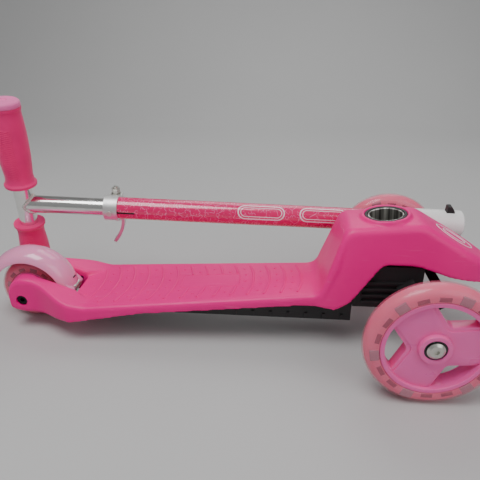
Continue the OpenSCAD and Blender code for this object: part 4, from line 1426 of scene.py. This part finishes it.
class SCOOTER_OT_bars(bpy.types.Operator):
    """Makes the chromed crossbar and tube, their weld, and the painted stem"""
    bl_idname = "scooter.bars"
    bl_label = "Bars and stem"

    def execute(self, context):
        settings = context.scene.scooter_bars
        r = settings.tube_r
        for name, node, place, first, last in (
                ("crossbar_tube", "crossbar", BAR, -130 * MM, 130 * MM),
                ("upper_tube_chrome", "upper_tube", STEM, 6 * MM, 239.6 * MM)):
            tube = lathe(name, [(0, first), (r, first), (r, last), (0, last)], 96, place)
            settle(tube, "handlebar", finish().chrome, (node,))
        spots, count = [], 30
        for k in range(count):
            angle = TAU * k / count
            y, z = r * math.cos(angle), r * math.sin(angle)
            reach = max(abs(z), 1.5 * MM) + 0.8 * MM
            out = 1 + 0.05 * math.cos(5.0 * angle)
            spots.append((reach, y * out, z * out))
        weld = grown("weld_beads", mesh_from("spots", spots, []), "studs", finish().weld, BAR,
                     Radius=2.1 * MM, Height=2.0 * MM)
        settle(weld, "handlebar", None, ("weld_bead",))
        outer, inner, edge = settings.stem_r, settings.stem_r - 1.5 * MM, 0.3 * MM
        first, last = 105 * MM, 470.6 * MM
        stem = lathe("stem_tube", [(inner, first), (outer - edge, first), (outer, first + edge),
                                   (outer, last - edge), (outer - edge, last), (inner, last)],
                     96, STEM, True)
        slot = new_piece("slot", soft_box("slot", (42 * MM, 6 * MM, 3.4 * MM),
                                          (122 * MM, -outer, 0), 0.1 * MM, 1))
        slot.data.transform(BAR)
        stem = cut(stem, [slot])
        smooth(stem.data, 35)
        settle(stem, "stem", finish().paint, ("lower_tube",))
        return {"FINISHED"}


# ---- Springs ----

class SCOOTER_OT_springs(bpy.types.Operator):
    """Winds the two springs that bring the steering arms back to the middle"""
    bl_idname = "scooter.springs"
    bl_label = "Steering springs"

    def execute(self, context):
        for word, side in SIDES.items():
            node = "steer_spring_" + word
            low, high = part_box(node)
            middle = centre(node)
            inner = side * min(abs(low.y), abs(high.y))
            outer = side * max(abs(low.y), abs(high.y))
            wire, turns, steps, sides = 0.75 * MM, 7, 240, 8
            coil = (high.z - low.z) / 2 - wire
            rings = []
            for k in range(steps + 1):
                turn = TAU * turns * k / steps
                y = mix(inner + side * wire, outer - side * wire, k / steps)
                away = Vector((math.cos(turn), 0, math.sin(turn)))
                at = Vector((middle.x, y, middle.z)) + away * coil
                rings.append([at + away * wire * math.cos(TAU * n / sides)
                              + Vector((0, wire * math.sin(TAU * n / sides), 0))
                              for n in range(sides)])
            piece = new_piece("steer_coil_" + word, loft("coil", rings, closed=True, caps=True))
            smooth(piece.data, 60)
            piece.data.materials.append(finish().zinc)
            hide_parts(node)
            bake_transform(piece)
        return {"FINISHED"}


# ---- CAD parts that stay as they are ----

WORN = {
    "black": ("under_tray", "front_bracket", "steering_arm_left", "steering_arm_right", "tube_shim",
              "release_button"),
    "zinc": ("tray_screws", "kingpins", "kingpin_nuts", "bracket_bolts", "rear_spacers",
             "rear_hub_sleeve", "brake_spring", "axle_bolt_left", "axle_bolt_right",
             "axle_washers_left", "axle_washers_right", "hub_sleeve_left", "hub_sleeve_right",
             "tie_rod_pins", "clamp_key_screw", "clamp_skewer", "skewer_nut", "button_spring",
             "lever_pin"),
    # fender_pin is black so that it reads as painted shade in the gap by the hinge.
    "coated": ("tie_rod", "rear_axle_bolt", "rear_axle_nut", "fender_pin"),
    "seal": ("front_bearings_left", "front_bearings_right", "rear_bearings"),
    "block": ("brake_block",),
    "white": ("tube_plug",),
    "alloy": ("clamp_band", "cam_lever"),
}


class SCOOTER_OT_finishes(bpy.types.Operator):
    """Gives every other CAD part its material and softened edges"""
    bl_idname = "scooter.finishes"
    bl_label = "Finishes of the CAD parts"

    def execute(self, context):
        for word, names in WORN.items():
            for name in names:
                part = frame["nodes"][name]
                part.data.materials.clear()
                part.data.materials.append(getattr(finish(), word))
                smooth(part.data, 32)
                soften_edges(part, 0.3 * MM, 2, 40)
        return {"FINISHED"}


# ---- Panel and registration ----

STEPS = (SCOOTER_OT_stage, SCOOTER_OT_deck, SCOOTER_OT_deck_grip, SCOOTER_OT_front_wheels,
         SCOOTER_OT_rear_wheel, SCOOTER_OT_fender, SCOOTER_OT_grips, SCOOTER_OT_bars,
         SCOOTER_OT_springs, SCOOTER_OT_finishes)
GROUPS = {"scooter_deck": DeckSettings, "scooter_wheels": WheelSettings,
          "scooter_bars": BarSettings, "scooter_colours": ColourSettings,
          "scooter_stage": StageSettings}


class SCOOTER_PT_panel(bpy.types.Panel):
    """Settings and steps of the scooter, in the sidebar"""
    bl_idname = "SCOOTER_PT_panel"
    bl_label = "Kick scooter"
    bl_space_type = "VIEW_3D"
    bl_region_type = "UI"
    bl_category = "Scooter"

    def draw(self, context):
        for name, group in GROUPS.items():
            column = self.layout.box().column()
            for key in group.__annotations__:
                column.prop(getattr(context.scene, name), key)
        for step in STEPS:
            self.layout.operator(step.bl_idname)


def register():
    for made in tuple(GROUPS.values()) + STEPS + (SCOOTER_PT_panel,):
        bpy.utils.register_class(made)
    for name, group in GROUPS.items():
        setattr(bpy.types.Scene, name, PointerProperty(type=group))


def unregister():
    for name in GROUPS:
        delattr(bpy.types.Scene, name)
    for made in (SCOOTER_PT_panel,) + STEPS + tuple(GROUPS.values()):
        bpy.utils.unregister_class(made)


def main():
    register()
    for step in STEPS:
        family, name = step.bl_idname.split(".")
        getattr(getattr(bpy.ops, family), name)()
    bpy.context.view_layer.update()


if __name__ == "__main__":
    main()
